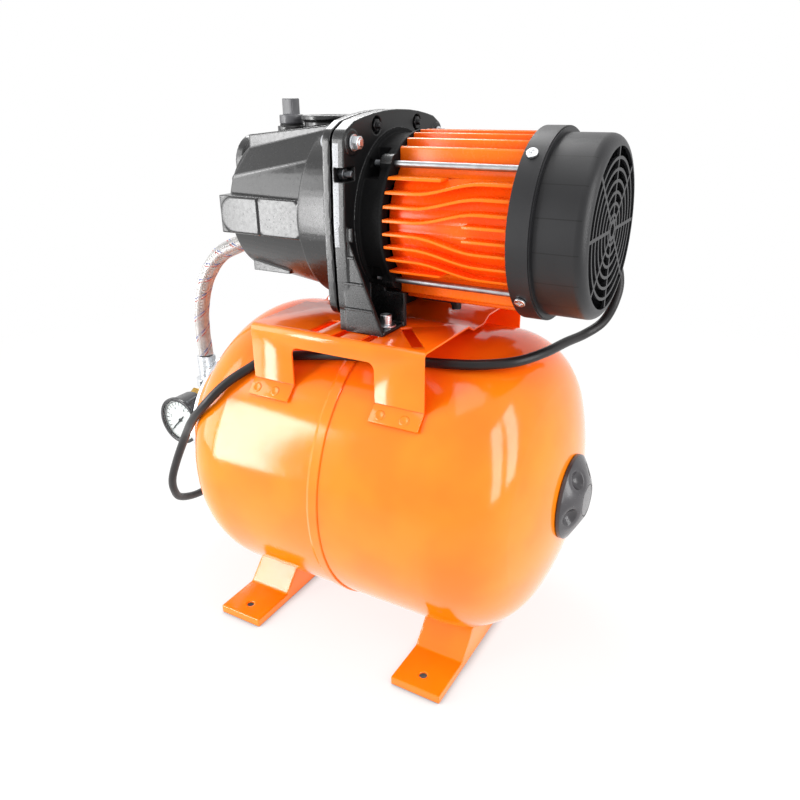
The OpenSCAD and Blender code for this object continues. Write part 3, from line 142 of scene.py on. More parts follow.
add(tree, "OutputMaterial", {}, {0: edge.outputs[0]})
table.materials.append(paper)


# Tank shells
# Two deep-drawn steel shells, lapped and welded round the middle, with a flange collar at the rear.
# The welded tank is sprayed with polyester powder and baked; a butyl bag inside holds the water.
def finish(name, light, dark, drift, grain, gloss, metal=0.0, relief=0.0, painted_shade=""):
    """A surface of one material: two close tones that drift over so many mm, a fine grain of so many mm that sets
    the gloss between two values, the grain's relief in mm and a deeper tone painted as shade where nearby parts close
    over it."""
    stuff = bpy.data.materials.new(name)
    stuff.use_nodes = True
    tree = stuff.node_tree
    shader = tree.nodes["Principled BSDF"]
    shader.inputs["Metallic"].default_value = metal
    place = add(tree, "TexCoord")
    cloud = add(tree, "TexNoise", {"Scale": 1000 / drift, "Detail": 2.0}, {"Vector": place.outputs["Object"]})
    blend = add(tree, "MapRange", {"From Min": 0.35, "From Max": 0.65}, {"Value": cloud.outputs[0]})
    tone = add(tree, "Mix", {"data_type": "RGBA", 6: linear(light), 7: linear(dark)}, {0: blend.outputs["Result"]})
    if painted_shade:
        # painted shade: ambient occlusion mixes in the deeper tone where other parts close over the surface, only
        # above about 0.22 m, under the pump and motor
        open_sky = add(tree, "AmbientOcclusion", {"Distance": 0.12, "samples": 8})
        bare = add(tree, "MapRange", {"From Min": 0.3, "From Max": 0.9}, {"Value": open_sky.outputs["AO"]})
        spot = add(tree, "SeparateXYZ", {}, {0: place.outputs["Object"]})
        low = add(tree, "MapRange", {"From Min": 0.28, "From Max": 0.22}, {"Value": spot.outputs["Z"]})
        bare = add(tree, "Math", {"operation": "MAXIMUM"}, {0: bare.outputs["Result"], 1: low.outputs["Result"]})
        tone = add(tree, "Mix", {"data_type": "RGBA", 6: linear(painted_shade)}, {0: bare.outputs[0], 7: tone.outputs[2]})
    tree.links.new(tone.outputs[2], shader.inputs["Base Color"])
    grit = add(tree, "TexNoise", {"Scale": 1000 / grain, "Detail": 3.0}, {"Vector": place.outputs["Object"]})
    rough = add(tree, "MapRange", {"From Min": 0.3, "From Max": 0.7, "To Min": gloss[0], "To Max": gloss[1]},
                {"Value": grit.outputs[0]})
    tree.links.new(rough.outputs["Result"], shader.inputs["Roughness"])
    if relief:
        dents = add(tree, "Bump", {"Distance": relief / 1000}, {"Height": grit.outputs[0]})
        tree.links.new(dents.outputs["Normal"], shader.inputs["Normal"])
    return stuff


def dress(stuff, *nodes):
    """Gives CAD nodes a material."""
    for name in nodes:
        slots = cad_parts[name].data.materials
        slots.clear()
        slots.append(stuff)


# polyester powder coat: high gloss with the slow ripple of a baked film, and painted shade: a deeper tone where the
# pump and motor close over the saddle and the tank top
powder_coat = finish("orange_powder_coat", "#FF8610", "#FC7C0B", 45.0, 6.0, (0.1, 0.16), relief=0.03,
                     painted_shade="#FF5A0C")
dress(powder_coat, "tank_rear_shell", "tank_front_shell")
# butyl rubber: dull black with a bloom of dust
butyl = finish("butyl_rubber", "#1E1E1F", "#151516", 12.0, 1.5, (0.6, 0.75), relief=0.05)
dress(butyl, "membrane")


# Feet
# Two strips stamped from 2.5 mm sheet, with folded edges and a punched pad at each end, welded under the tank.
# The press leaves soft folds, which the gridded copy of the CAD shape gives.
def cast_copy(node, grid, passes, share):
    """The shape of a CAD node, gridded and evened so that its edges and corners come out rounded."""
    blank = bpy.data.objects.new(node + "_blank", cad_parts[node].data.copy())
    bpy.context.scene.collection.objects.link(blank)
    cells = blank.modifiers.new("cells", "REMESH")
    cells.mode = "VOXEL"
    cells.voxel_size = grid / 1000
    even = blank.modifiers.new("even", "SMOOTH")
    even.factor = 0.5
    even.iterations = passes
    fewer = blank.modifiers.new("fewer", "DECIMATE")
    fewer.ratio = share
    mesh = bpy.data.meshes.new_from_object(blank.evaluated_get(bpy.context.evaluated_depsgraph_get()))
    bpy.data.objects.remove(blank)
    shape = bmesh.new()
    shape.from_mesh(mesh)
    bpy.data.meshes.remove(mesh)
    return shape


def piece(name, shape, stuff, body, stands_for=(), crease=40, unit=1.0):
    """Turns a bmesh into a finished piece that rides on a body and stands for CAD nodes."""
    shape.transform(Matrix.Scale(unit, 4))
    mesh = bpy.data.meshes.new(name)
    shape.to_mesh(mesh)
    shape.free()
    for coat in stuff if isinstance(stuff, list) else [stuff]:
        mesh.materials.append(coat)
    for face in mesh.polygons:
        face.material_index = min(face.material_index, len(mesh.materials) - 1)
    mesh.shade_smooth()
    mesh.set_sharp_from_angle(angle=math.radians(crease))
    made = bpy.data.objects.new(name, mesh)
    bpy.context.scene.collection.objects.link(made)
    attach(made, body)
    if stands_for:
        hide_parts(*stands_for)
    return made


for foot in ("rear_foot", "front_foot"):
    piece(foot + "_strip", cast_copy(foot, 0.7, 8, 0.3), powder_coat, "set", [foot], crease=60)


# Saddle
# One sheet folded into a bridge, with a stiffening trough, slots for the pump feet and tabs that lie on the tank.
# Each tab is held by two spot welds, whose electrode leaves a ring with a dished middle under the paint.
def eased(node, width, steps=2):
    """The shape of a CAD node with its sharp edges broken by so many mm."""
    least_fold = math.radians(28)
    shape = bmesh.new()
    shape.from_mesh(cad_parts[node].data)
    bmesh.ops.remove_doubles(shape, verts=shape.verts, dist=2e-6)
    bmesh.ops.dissolve_limit(shape, angle_limit=math.radians(0.4), verts=shape.verts, edges=shape.edges)
    bmesh.ops.dissolve_degenerate(shape, edges=shape.edges, dist=2e-5)
    sharp = [e for e in shape.edges if len(e.link_faces) == 2 and e.calc_face_angle(0.0) > least_fold]
    bmesh.ops.bevel(shape, geom=sharp, offset=width / 1000, offset_type="OFFSET", segments=steps, profile=0.5,
                    affect="EDGES", clamp_overlap=False, loop_slide=True, miter_outer="ARC")
    return shape


piece("saddle_sheet", eased("saddle", 0.5), powder_coat, "set", ["saddle"])


def spun(shape, rows, place, along, sides=36):
    """Adds a turned part to a bmesh, in mm: rows of (distance, radius, flats), where flats is the width of a hexagon
    that trims the row, or 0."""
    turn = Vector((0, 0, 1)).rotation_difference(Vector(along)).to_matrix()
    rings = []
    for far, radius, flats in rows:
        ring = []
        for k in range(sides):
            a = 2 * math.pi * k / sides
            r = radius
            if flats:
                r = min(r, flats / 2 / math.cos((a + math.pi / 6) % (math.pi / 3) - math.pi / 6))
            ring.append(shape.verts.new(Vector(place) + turn @ Vector((r * math.cos(a), r * math.sin(a), far))))
        rings.append(ring)
    for low, high in zip(rings, rings[1:]):
        for k in range(sides):
            n = (k + 1) % sides
            shape.faces.new((low[k], low[n], high[n], high[k]))
    shape.faces.new(rings[0][::-1])
    shape.faces.new(rings[-1])


tank_axis = 155
tank_radius = 135
saddle_half_width = 98
sheet = 2.5
weld_rows = [(-0.5, 4.6, 0), (0.0, 4.4, 0), (0.55, 3.6, 0), (0.6, 3.0, 0), (0.25, 2.2, 0), (0.12, 0.4, 0)]
welds = bmesh.new()
slope = math.acos(saddle_half_width / tank_radius)
for side in (-1, 1):
    out = Vector((0, side * math.cos(slope), math.sin(slope)))
    down = Vector((0, side * math.sin(slope), -math.cos(slope)))
    for x in (-35, -16, 87, 109):
        spun(welds, weld_rows, Vector((x, 0, tank_axis)) + out * (tank_radius + sheet) + down * 6.5, out)
piece("spot_welds", welds, powder_coat, "set", unit=0.001)


# Air valve
# A tyre-type brass valve soldered in the front dome, under a moulded cap with finger dimples that pulls straight off.
# free-cutting brass, turned: a warm yellow with fine tool marks
brass = finish("turned_brass", "#CDA653", "#B98F40", 8.0, 1.2, (0.2, 0.34), metal=1.0, relief=0.015)
dress(brass, "air_valve", "valve_core")
# polypropylene from a spark-eroded mould: near black, an even fine grain and a soft sheen
moulded = finish("moulded_polypropylene", "#1F1F21", "#19191B", 30.0, 0.7, (0.38, 0.5), relief=0.02)
moulded.node_tree.nodes["Principled BSDF"].inputs["Specular IOR Level"].default_value = 0.38
# the cap's own plastic is a dark grey from a polished mould
grey_cap = finish("polished_grey_polypropylene", "#444245", "#3A383B", 25.0, 2.0, (0.2, 0.28), relief=0.01)
# the dimples are pressed in further on the copy, with soft rims
cap = cast_copy("valve_cap", 0.3, 2, 0.3)
dome_radius = 0.056
disc_radius = 0.015
dimple_circle = 0.027
dimple_radius = 0.0125
dimple_depth = 0.0026
dome_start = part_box("valve_cap")[1][0] - math.sqrt(dome_radius ** 2 - disc_radius ** 2)
dome_centre = Vector((dome_start, 0.0, tank_axis / 1000))
tilt = math.asin(dimple_circle / dome_radius)
for k in range(5):
    a = math.radians(118 + 72 * k)
    inward = -Vector((math.cos(tilt), math.sin(tilt) * math.cos(a), math.sin(tilt) * math.sin(a)))
    for spot in cap.verts:
        away = dome_radius * (dome_centre - spot.co).angle(inward) / dimple_radius
        if away < 1:
            spot.co += inward * dimple_depth * (1 - away ** 2) ** 2
piece("dimpled_cap", cap, grey_cap, "cap", ["valve_cap"], crease=60)


# Tank flange
# A zinc-plated plate with the water connection, pulled onto the collar by six hexagon bolts that also clamp the bag.
# bright zinc plate: a pale, cool metal with a slightly uneven gloss
zinc = finish("zinc_plated_steel", "#DADCDE", "#CDD0D4", 12.0, 2.0, (0.26, 0.36), metal=1.0, relief=0.004)
piece("flange_plate", eased("tank_flange", 0.4), zinc, "set", ["tank_flange"])


def hexagon(start, height, flats, bottom=False):
    """Rows of a hexagon head or nut with turned-off corners, at its bottom too where that shows."""
    c = flats * 0.577
    end = start + height
    rows = [(start, flats * 0.47, flats), (start + flats * 0.05, c, flats)] if bottom else [(start, c, flats)]
    return rows + [(end - flats * 0.07, c, flats), (end - flats * 0.03, flats * 0.525, flats),
                   (end, flats * 0.465, flats)]


def thread(start, end, radius, pitch=1.0):
    """Rows of a screw thread, drawn as rings."""
    rows = []
    for k in range(int((end - start) / pitch)):
        rows += [(start + k * pitch, radius, 0), (start + (k + 0.5) * pitch, radius - 0.4 * pitch, 0)]
    return rows + [(end - 0.6, radius, 0), (end, radius - 0.7, 0)]


bolts = bmesh.new()
bolt_circle = 63
plate_back = -157.3
for k in range(6):
    a = math.radians(60 * k)
    spun(bolts, [(-16, 4, 0), (0, 4, 0), (0, 8.5, 0), (1.2, 8.5, 0)] + hexagon(1.2, 5.5, 12),
         (plate_back, bolt_circle * math.cos(a), tank_axis + bolt_circle * math.sin(a)), (-1, 0, 0))
piece("flange_bolt_set", bolts, zinc, "set", ["flange_bolts"], crease=30, unit=0.001)


# Pump casing
# A sand casting in grey iron with the ports, priming chamber and hose boss in one piece, dipped in black enamel.
# The copy of the CAD shape is gridded and evened here too, which gives the rounded edges and fillets of a casting.

# gloss enamel over a sand-cast skin: black, with a slow ripple of 3 mm and a few pits that break the shine
iron = finish("black_enamel_on_cast_iron", "#0F0F10", "#0A0A0B", 20.0, 3.0, (0.2, 0.28), relief=0.03)
tree = iron.node_tree
shader = tree.nodes["Principled BSDF"]
shader.inputs["Specular IOR Level"].default_value = 0.65
place = add(tree, "TexCoord")
spots = add(tree, "TexNoise", {"Scale": 1000 / 2.2, "Detail": 2.0}, {"Vector": place.outputs["Object"]})
pits = add(tree, "MapRange", {"From Min": 0.68, "From Max": 0.76, "To Min": 1.0, "To Max": 0.0},
           {"Value": spots.outputs[0]})
skin = shader.inputs["Normal"].links[0].from_socket
sunk = add(tree, "Bump", {"Distance": 0.00005}, {"Height": pits.outputs["Result"], "Normal": skin})
tree.links.new(sunk.outputs["Normal"], shader.inputs["Normal"])
casting = cast_copy("pump_casing", 0.8, 2, 0.35)
piece("casing_casting", casting, iron, "set", ["pump_casing"], crease=60)
# glass-filled nylon: a lighter grey than the enamel, with a soft shine
nylon = finish("glass_filled_nylon", "#5C5C5F", "#505053", 10.0, 0.8, (0.28, 0.4), relief=0.03)
piece("priming_plug", eased("filling_plug", 1.0, 3), nylon, "fill_plug", ["filling_plug"])
dress(butyl, "plug_seal")
dress(brass, "drain_plug")


# Pump insides
# Moulded ejector and diffuser, a stamped impeller on its nut, and a carbon ring that runs on a ceramic seat.
# moulded polyphenylene ether: ivory, with an even satin skin
ether_plastic = finish("moulded_polyphenylene_ether", "#DAD5C6", "#CDC7B7", 15.0, 0.8, (0.4, 0.5), relief=0.02)
dress(ether_plastic, "ejector", "diffuser")
dress(brass, "impeller")
# ground steel: a bright, even metal
steel = finish("bright_steel", "#C6C8CA", "#AFB2B5", 5.0, 0.6, (0.18, 0.28), metal=1.0, relief=0.01)
dress(steel, "impeller_nut")
# sintered alumina: a warm white with a low shine
alumina = finish("alumina", "#EFEDE6", "#E6E3DA", 6.0, 0.6, (0.25, 0.3))
dress(alumina, "seal_seat")
# pressed carbon: dark grey, almost without shine
carbon = finish("pressed_carbon", "#2D2D2F", "#232325", 4.0, 0.5, (0.4, 0.5))
dress(carbon, "seal_ring")


# Motor bracket
# An iron lantern between pump and motor, in satin black; its joint face and rim were turned after painting,
# so the flanks of the rim show as a bare strip.
shaft_height = 381

# satin enamel: black with a broad, soft shine, and bare grey metal on the turned strip
satin = finish("satin_enamel_on_iron", "#111112", "#0B0B0C", 25.0, 1.2, (0.24, 0.36), relief=0.03)
tree = satin.node_tree
shader = tree.nodes["Principled BSDF"]
shader.inputs["Specular IOR Level"].default_value = 0.7
place = add(tree, "TexCoord")
spot = add(tree, "SeparateXYZ", {}, {0: place.outputs["Object"]})
facing = add(tree, "NewGeometry")
tilt = add(tree, "SeparateXYZ", {}, {0: facing.outputs["Normal"]})
side = add(tree, "Math", {"operation": "ABSOLUTE"}, {0: tilt.outputs["Y"]})
bare = add(tree, "Math", {"operation": "GREATER_THAN", 1: 0.8}, {0: side.outputs[0]})
width = add(tree, "MapRange", {"From Min": 0.381, "From Max": 0.382, "To Min": 0.0396, "To Max": 0.0406},
            {"Value": spot.outputs["Z"]})
outer = add(tree, "Math", {"operation": "ABSOLUTE"}, {0: spot.outputs["Y"]})
for operation, level, value in (("GREATER_THAN", 0.0356, spot.outputs["X"]), ("LESS_THAN", 0.441, spot.outputs["Z"]),
                                ("GREATER_THAN", 0.366, spot.outputs["Z"]), ("GREATER_THAN", 0.066, outer.outputs[0])):
    limit = add(tree, "Math", {"operation": operation, 1: level}, {0: value})
    bare = add(tree, "Math", {"operation": "MULTIPLY"}, {0: bare.outputs[0], 1: limit.outputs[0]})
limit = add(tree, "Math", {"operation": "LESS_THAN"}, {0: spot.outputs["X"], 1: width.outputs["Result"]})
bare = add(tree, "Math", {"operation": "MULTIPLY"}, {0: bare.outputs[0], 1: limit.outputs[0]})
paint_tone = shader.inputs["Base Color"].links[0].from_socket
turned = add(tree, "Mix", {"data_type": "RGBA", 7: linear("#77787A")}, {0: bare.outputs[0], 6: paint_tone})
tree.links.new(turned.outputs[2], shader.inputs["Base Color"])
half = add(tree, "Math", {"operation": "MULTIPLY", 1: 0.5}, {0: bare.outputs[0]})
tree.links.new(half.outputs[0], shader.inputs["Metallic"])
# painted shade: the inside of the bell gets a near-black coat almost without shine, so that it renders dark
bell_shade_coat = finish("dark_bell_shade_coat", "#0C0C0D", "#080809", 12.0, 1.5, (0.65, 0.8), relief=0.05)
bell_shade_coat.node_tree.nodes["Principled BSDF"].inputs["Specular IOR Level"].default_value = 0.15
# painted shade: the faces turned towards the motor get a darker copy of the satin enamel with less shine
thin = finish("shaded_face_copy_of_satin", "#0E0E0F", "#0A0A0B", 25.0, 1.2, (0.32, 0.44), relief=0.03)
thin.node_tree.nodes["Principled BSDF"].inputs["Specular IOR Level"].default_value = 0.28
lantern = cast_copy("motor_bracket", 0.6, 1, 0.3)
lantern.normal_update()
bell_start = 0.0458
bell_radius = 0.068
for face in lantern.faces:
    spot = face.calc_center_median()
    # faces inside the bell take the painted shade coat
    if spot.x > bell_start and math.hypot(spot.y, spot.z - shaft_height / 1000) < bell_radius:
        face.material_index = 1
    # faces turned towards the motor take the darker, shaded copy
    elif face.normal.x > 0.75:
        face.material_index = 2
piece("bracket_casting", lantern, [satin, bell_shade_coat, thin], "set", ["motor_bracket"], crease=60)
dress(butyl, "casing_gasket")
# the mould's joints cross the outer face of each leg as three low ridges
leg_foot = 299.3
ridge_section = ((-1.5, -0.4), (-0.6, 0.9), (0.6, 0.9), (1.5, -0.9))
ridges = bmesh.new()
for side in (-1, 1):
    for height, face in ((19, 79.5), (39, 79.0), (59, 78.5)):
        ends = []
        for x in (41.8, 75.2 - height * 30 / 72):
            ends.append([ridges.verts.new((x, side * (face + proud), leg_foot + height + up))
                         for up, proud in ridge_section])
        for k in range(4):
            n = (k + 1) % 4
            ridges.faces.new((ends[0][k], ends[0][n], ends[1][n], ends[1][k]))
        ridges.faces.new(ends[0][::-1])
        ridges.faces.new(ends[1])
bmesh.ops.recalc_face_normals(ridges, faces=ridges.faces)
piece("leg_mould_ridges", ridges, satin, "set", crease=20, unit=0.001)


# Joint bolts
# Four plated bolts at the flange corners, two dark studs at the sides and two black studs at the top, all with nuts,
# and two socket screws with wide washers that hold the bracket feet on the saddle.
joint_face = 31

# blackened steel: near black with a faint metal shine
blackened = finish("blackened_steel", "#1C1C1E", "#141416", 5.0, 0.8, (0.3, 0.42), metal=0.6, relief=0.02)
# phosphated steel: mid grey and dull
dull = finish("phosphated_steel", "#6E7073", "#585A5D", 5.0, 0.8, (0.34, 0.46), metal=1.0, relief=0.02)
corner = bmesh.new()
side_studs = bmesh.new()
top_studs = bmesh.new()
foot_screws = bmesh.new()
foot_screw_rows = [(-13, 4, 0), (0, 4, 0), (0, 7.8, 0), (0.2, 8, 0), (1.2, 8, 0), (1.4, 7.8, 0), (1.4, 4.5, 0),
                   (1.7, 4.8, 0), (9.2, 4.8, 0), (9.6, 4.4, 0), (9.6, 2.9, 5), (6.0, 2.9, 5)]
for side in (-1, 1):
    for up in (-1, 1):
        spot = (joint_face, side * 67.5, shaft_height + up * 60)
        spun(corner, hexagon(5.2, 5, 10), spot, (-1, 0, 0))
        spun(corner, [(-6, 3, 0), (15.7, 3, 0), (15.7, 5.8, 0), (15.9, 6, 0), (16.9, 6, 0), (17.1, 5.8, 0)]
             + hexagon(17.1, 5, 9, bottom=True) + thread(22.1, 22.9, 3, 0.6), spot, (1, 0, 0))
    spun(side_studs, [(-3.5, 2.5, 0), (5.7, 2.5, 0)] + hexagon(5.7, 4.6, 8, bottom=True)
         + thread(10.3, 16.5, 2.5, 0.8), (joint_face, side * 71, shaft_height + 38), (1, 0, 0))
    spun(top_studs, [(-3.5, 2.5, 0), (10.2, 2.5, 0)] + hexagon(10.2, 5, 9, bottom=True)
         + thread(15.2, 18.2, 2.5, 0.8), (joint_face, side * 32, shaft_height + 70.5), (1, 0, 0))
    spun(foot_screws, foot_screw_rows, (67.5, side * 60, 302.2), (0, 0, 1))
    spun(foot_screws, hexagon(2.2, 6, 13, bottom=True), (67.5, side * 60, 299.0), (0, 0, -1))
piece("corner_bolt_set", corner, zinc, "set", ["casing_bolts"], crease=30, unit=0.001)
piece("side_stud_set", side_studs, dull, "set", ["side_bolts"], crease=30, unit=0.001)
piece("top_stud_set", top_studs, blackened, "set", ["top_screws"], crease=30, unit=0.001)
piece("foot_bolt_set", foot_screws, zinc, "set", ["foot_bolts"], crease=30, unit=0.001)


# Motor
# A die-cast aluminium frame with straight fins above and below and swept fins on its flanks, sprayed orange,
# round a stack of core plates with copper windings; the rotor runs in two ball bearings.
# sprayed enamel: orange with a soft gloss, with painted shade: a deeper tone between the fins
enamel = finish("orange_enamel_on_alloy", "#FF7E1A", "#FD7514", 40.0, 3.0, (0.22, 0.3), relief=0.015,
                painted_shade="#FF660E")
enamel.node_tree.nodes["Principled BSDF"].inputs["Specular IOR Level"].default_value = 0.25
piece("frame_casting", eased("motor_frame", 0.45), enamel, "set", ["motor_frame"])
# stacked core plates: grey, rough steel
core = finish("core_plate", "#6C6D70", "#55565A", 3.0, 0.8, (0.4, 0.55), metal=1.0, relief=0.04)
dress(core, "stator_core", "rotor_core")
# enamelled copper: brown-red with a lacquer shine
wire = finish("enamelled_copper", "#B0652E", "#8C4A1E", 3.0, 1.0, (0.3, 0.4), metal=0.6, relief=0.2)
dress(wire, "windings")
dress(steel, "shaft", "front_bearing", "rear_bearing")
# die-cast aluminium: pale grey with a fine cast skin
alloy = finish("die_cast_aluminium", "#C6C8CA", "#B3B6B9", 12.0, 1.0, (0.35, 0.5), metal=1.0, relief=0.05)
dress(alloy, "rear_shield")
dress(butyl, "motor_rest")


# Tie rods
# Four plated rods that pull the rear shield, frame and bracket together, threaded where they enter the bracket.
# drawn rod under zinc: a grey metal with a soft line of light
drawn = finish("drawn_zinc_plated_rod", "#A9ABAE", "#989A9D", 6.0, 1.0, (0.3, 0.4), metal=1.0, relief=0.01)
rods = bmesh.new()
threads = bmesh.new()
for side in (-1, 1):
    for up in (-1, 1):
        spot = (joint_face, side * 44.2, shaft_height + up * 44.2)
        spun(threads, thread(21, 29.5, 2.5, 0.8), spot, (1, 0, 0), 20)
        spun(rods, [(29.2, 2.1, 0), (29.6, 2.5, 0), (143, 2.5, 0)], spot, (1, 0, 0), 20)
piece("tie_rod_set", rods, drawn, "set", ["tie_rods"], crease=30, unit=0.001)
piece("tie_rod_threads", threads, dull, "set", crease=30, unit=0.001)


# Fan and cover
# A moulded fan pushed on the shaft, under a moulded cover with a ring grille, held by four radial screws.
dress(moulded, "fan")
# the same plastic on the cover shows the joints of the mould's slides, fine lines every 20 degrees round its flank
ribbed = moulded.copy()
ribbed.name = "moulded_polypropylene_with_slide_lines"
tree = ribbed.node_tree
shader = tree.nodes["Principled BSDF"]
place = add(tree, "TexCoord")
spot = add(tree, "SeparateXYZ", {}, {0: place.outputs["Object"]})
up = add(tree, "Math", {"operation": "SUBTRACT", 1: shaft_height / 1000}, {0: spot.outputs["Z"]})
turn = add(tree, "Math", {"operation": "ARCTAN2"}, {0: up.outputs[0], 1: spot.outputs["Y"]})
count = add(tree, "Math", {"operation": "MULTIPLY_ADD", 1: 18 / (2 * math.pi), 2: 0.685}, {0: turn.outputs[0]})
part = add(tree, "Math", {"operation": "FRACT"}, {0: count.outputs[0]})
line = add(tree, "Math", {"operation": "LESS_THAN", 1: 0.035}, {0: part.outputs[0]})
past = add(tree, "Math", {"operation": "GREATER_THAN", 1: 0.1885}, {0: spot.outputs["X"]})
short = add(tree, "Math", {"operation": "LESS_THAN", 1: 0.2205}, {0: spot.outputs["X"]})
line = add(tree, "Math", {"operation": "MULTIPLY"}, {0: line.outputs[0], 1: past.outputs[0]})
line = add(tree, "Math", {"operation": "MULTIPLY"}, {0: line.outputs[0], 1: short.outputs[0]})
tone = shader.inputs["Base Color"].links[0].from_socket
dark = add(tree, "Mix", {"data_type": "RGBA", 7: linear("#060607")}, {0: line.outputs[0], 6: tone})
tree.links.new(dark.outputs[2], shader.inputs["Base Color"])
dress(ribbed, "fan_cover")
piece("cowl_screws", eased("cover_screws", 0.25), zinc, "set", ["cover_screws"])


# Terminal box
# A moulded box on the far flank with a screwed lid, the run capacitor inside and a gland for the lead.
piece("terminal_housing", eased("terminal_box", 0.8), moulded, "set", ["terminal_box"])
piece("terminal_cover", eased("terminal_lid", 0.8), moulded, "set", ["terminal_lid"])
dress(alloy, "capacitor")
piece("lead_gland", eased("cable_gland", 0.5), moulded, "set", ["cable_gland"])


# Manifold
# A five-way brass fitting on the tank flange that carries the hose, the gauge and the pressure switch.
piece("brass_manifold", eased("manifold", 0.4), brass, "set", ["manifold"])


# Gauge
# A round moulded case with a snap-in window, a white enamelled dial and a black pointer.
# ABS from a polished mould: black with clear reflections
glossy_abs = finish("glossy_black_abs", "#2E2E30", "#262628", 20.0, 1.5, (0.16, 0.24), relief=0.01)
piece("gauge_housing", eased("gauge_case", 0.7), glossy_abs, "set", ["gauge_case"])
# white enamel with a printed scale; its lines are drawn 0.7 mm wide, since finer ones are lost at this distance
dial = finish("printed_dial_enamel", "#FAFAF8", "#F5F5F2", 10.0, 1.0, (0.3, 0.4))
tree = dial.node_tree
shader = tree.nodes["Principled BSDF"]
place = add(tree, "TexCoord")
gauge_x = -0.199
gauge_height = 0.155
dial_centre = (gauge_x, -0.0474, gauge_height)
middle = add(tree, "VectorMath", {"operation": "SUBTRACT", 1: dial_centre}, {0: place.outputs["Object"]})
far = add(tree, "VectorMath", {"operation": "LENGTH"}, {0: middle.outputs[0]})
spot = add(tree, "SeparateXYZ", {}, {0: middle.outputs[0]})
turn = add(tree, "Math", {"operation": "ARCTAN2"}, {0: spot.outputs["X"], 1: spot.outputs["Z"]})
count = add(tree, "Math", {"operation": "MULTIPLY_ADD", 1: 24 / (2 * math.pi), 2: 0.09}, {0: turn.outputs[0]})
part = add(tree, "Math", {"operation": "FRACT"}, {0: count.outputs[0]})
line = add(tree, "Math", {"operation": "LESS_THAN", 1: 0.18}, {0: part.outputs[0]})
wide = add(tree, "Math", {"operation": "ABSOLUTE"}, {0: turn.outputs[0]})
for operation, level in (("GREATER_THAN", 0.0165), ("LESS_THAN", 0.0205)):
    limit = add(tree, "Math", {"operation": operation, 1: level}, {0: far.outputs["Value"]})
    line = add(tree, "Math", {"operation": "MULTIPLY"}, {0: line.outputs[0], 1: limit.outputs[0]})
ring = add(tree, "Math", {"operation": "COMPARE", 1: 0.0208, 2: 0.00035}, {0: far.outputs["Value"]})
line = add(tree, "Math", {"operation": "MAXIMUM"}, {0: line.outputs[0], 1: ring.outputs[0]})
sweep_of_scale = add(tree, "Math", {"operation": "LESS_THAN", 1: math.radians(139)}, {0: wide.outputs[0]})
line = add(tree, "Math", {"operation": "MULTIPLY"}, {0: line.outputs[0], 1: sweep_of_scale.outputs[0]})
tone = shader.inputs["Base Color"].links[0].from_socket
print_ink = add(tree, "Mix", {"data_type": "RGBA", 7: linear("#4A4A4C")}, {0: line.outputs[0], 6: tone})
tree.links.new(print_ink.outputs[2], shader.inputs["Base Color"])
dress(dial, "gauge_dial")
# printing ink: dark grey and dull
ink = finish("dial_ink", "#3A3A3C", "#303032", 4.0, 0.5, (0.5, 0.6))
number_circle = 0.0138
for k in range(6):
    a = math.radians(-135 + 54 * k)
    letters = bpy.data.curves.new("dial_number_%d" % k, "FONT")
    letters.body = str(2 * k)
    letters.size = 0.0042
    letters.align_x = "CENTER"
    letters.align_y = "CENTER"
    letters.extrude = 0.00005
    letters.materials.append(ink)
    number = bpy.data.objects.new("dial_number_%d" % k, letters)
    number.location = (gauge_x + number_circle * math.sin(a), -0.0475, gauge_height + number_circle * math.cos(a))
    number.rotation_euler = (math.pi / 2, 0, 0)
    bpy.context.scene.collection.objects.link(number)
    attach(number, "set")
dress(blackened, "gauge_needle")
# polycarbonate window: seen through, with a faint smeared reflection
clear = bpy.data.materials.new("clear_polycarbonate")
clear.use_nodes = True
tree = clear.node_tree
tree.nodes.clear()
place = add(tree, "TexCoord")
smear = add(tree, "TexNoise", {"Scale": 120.0}, {"Vector": place.outputs["Object"]})
rough = add(tree, "MapRange", {"To Min": 0.02, "To Max": 0.1}, {"Value": smear.outputs[0]})
shine = add(tree, "BsdfGlossy", {}, {"Roughness": rough.outputs["Result"]})
through = add(tree, "BsdfTransparent", {"Color": linear("#F6F8F8")})
angle = add(tree, "LayerWeight", {"Blend": 0.5})
share = add(tree, "MapRange", {"From Min": 0.4, "To Min": 0.04, "To Max": 0.5}, {"Value": angle.outputs["Facing"]})
both = add(tree, "MixShader", {}, {0: share.outputs["Result"], 1: through.outputs[0], 2: shine.outputs[0]})
add(tree, "OutputMaterial", {}, {0: both.outputs[0]})
dress(clear, "gauge_lens")


# Pressure switch
# A plated base on the manifold with a moulded cover and a gland below for the lead.
piece("switch_foot", eased("switch_base", 0.5), zinc, "set", ["switch_base"])
piece("switch_hood", eased("switch_cover", 0.8), moulded, "set", ["switch_cover"])
piece("switch_lead_gland", eased("switch_gland", 0.5), moulded, "set", ["switch_gland"])


# Hose
# A rubber tube in a braid of stainless wire with red and blue tracer threads, crimped into plated ends
# that have swivel nuts.
fittings = bmesh.new()
for spot, way, long in (((-96.2, 0, 344), (-1, 0, 0), 16), ((-199, 0, 176.2), (0, 0, 1), 25)):
    body_rows = hexagon(0, 13, 24, bottom=True)
    crimps = [(13, 9.6, 0)]
    for k in range(4):
        a = 14 + (long - 3) * k / 4
        crimps += [(a, 9.6, 0), (a + 0.6, 8.9, 0), (a + 1.8, 8.9, 0), (a + 2.4, 9.6, 0)]
    spun(fittings, body_rows + crimps + [(12.5 + long, 9.6, 0), (13 + long, 9.2, 0), (13 + long, 7.0, 0)], spot, way)
piece("hose_ends", fittings, zinc, "set", ["hose_fittings"], crease=30, unit=0.001)


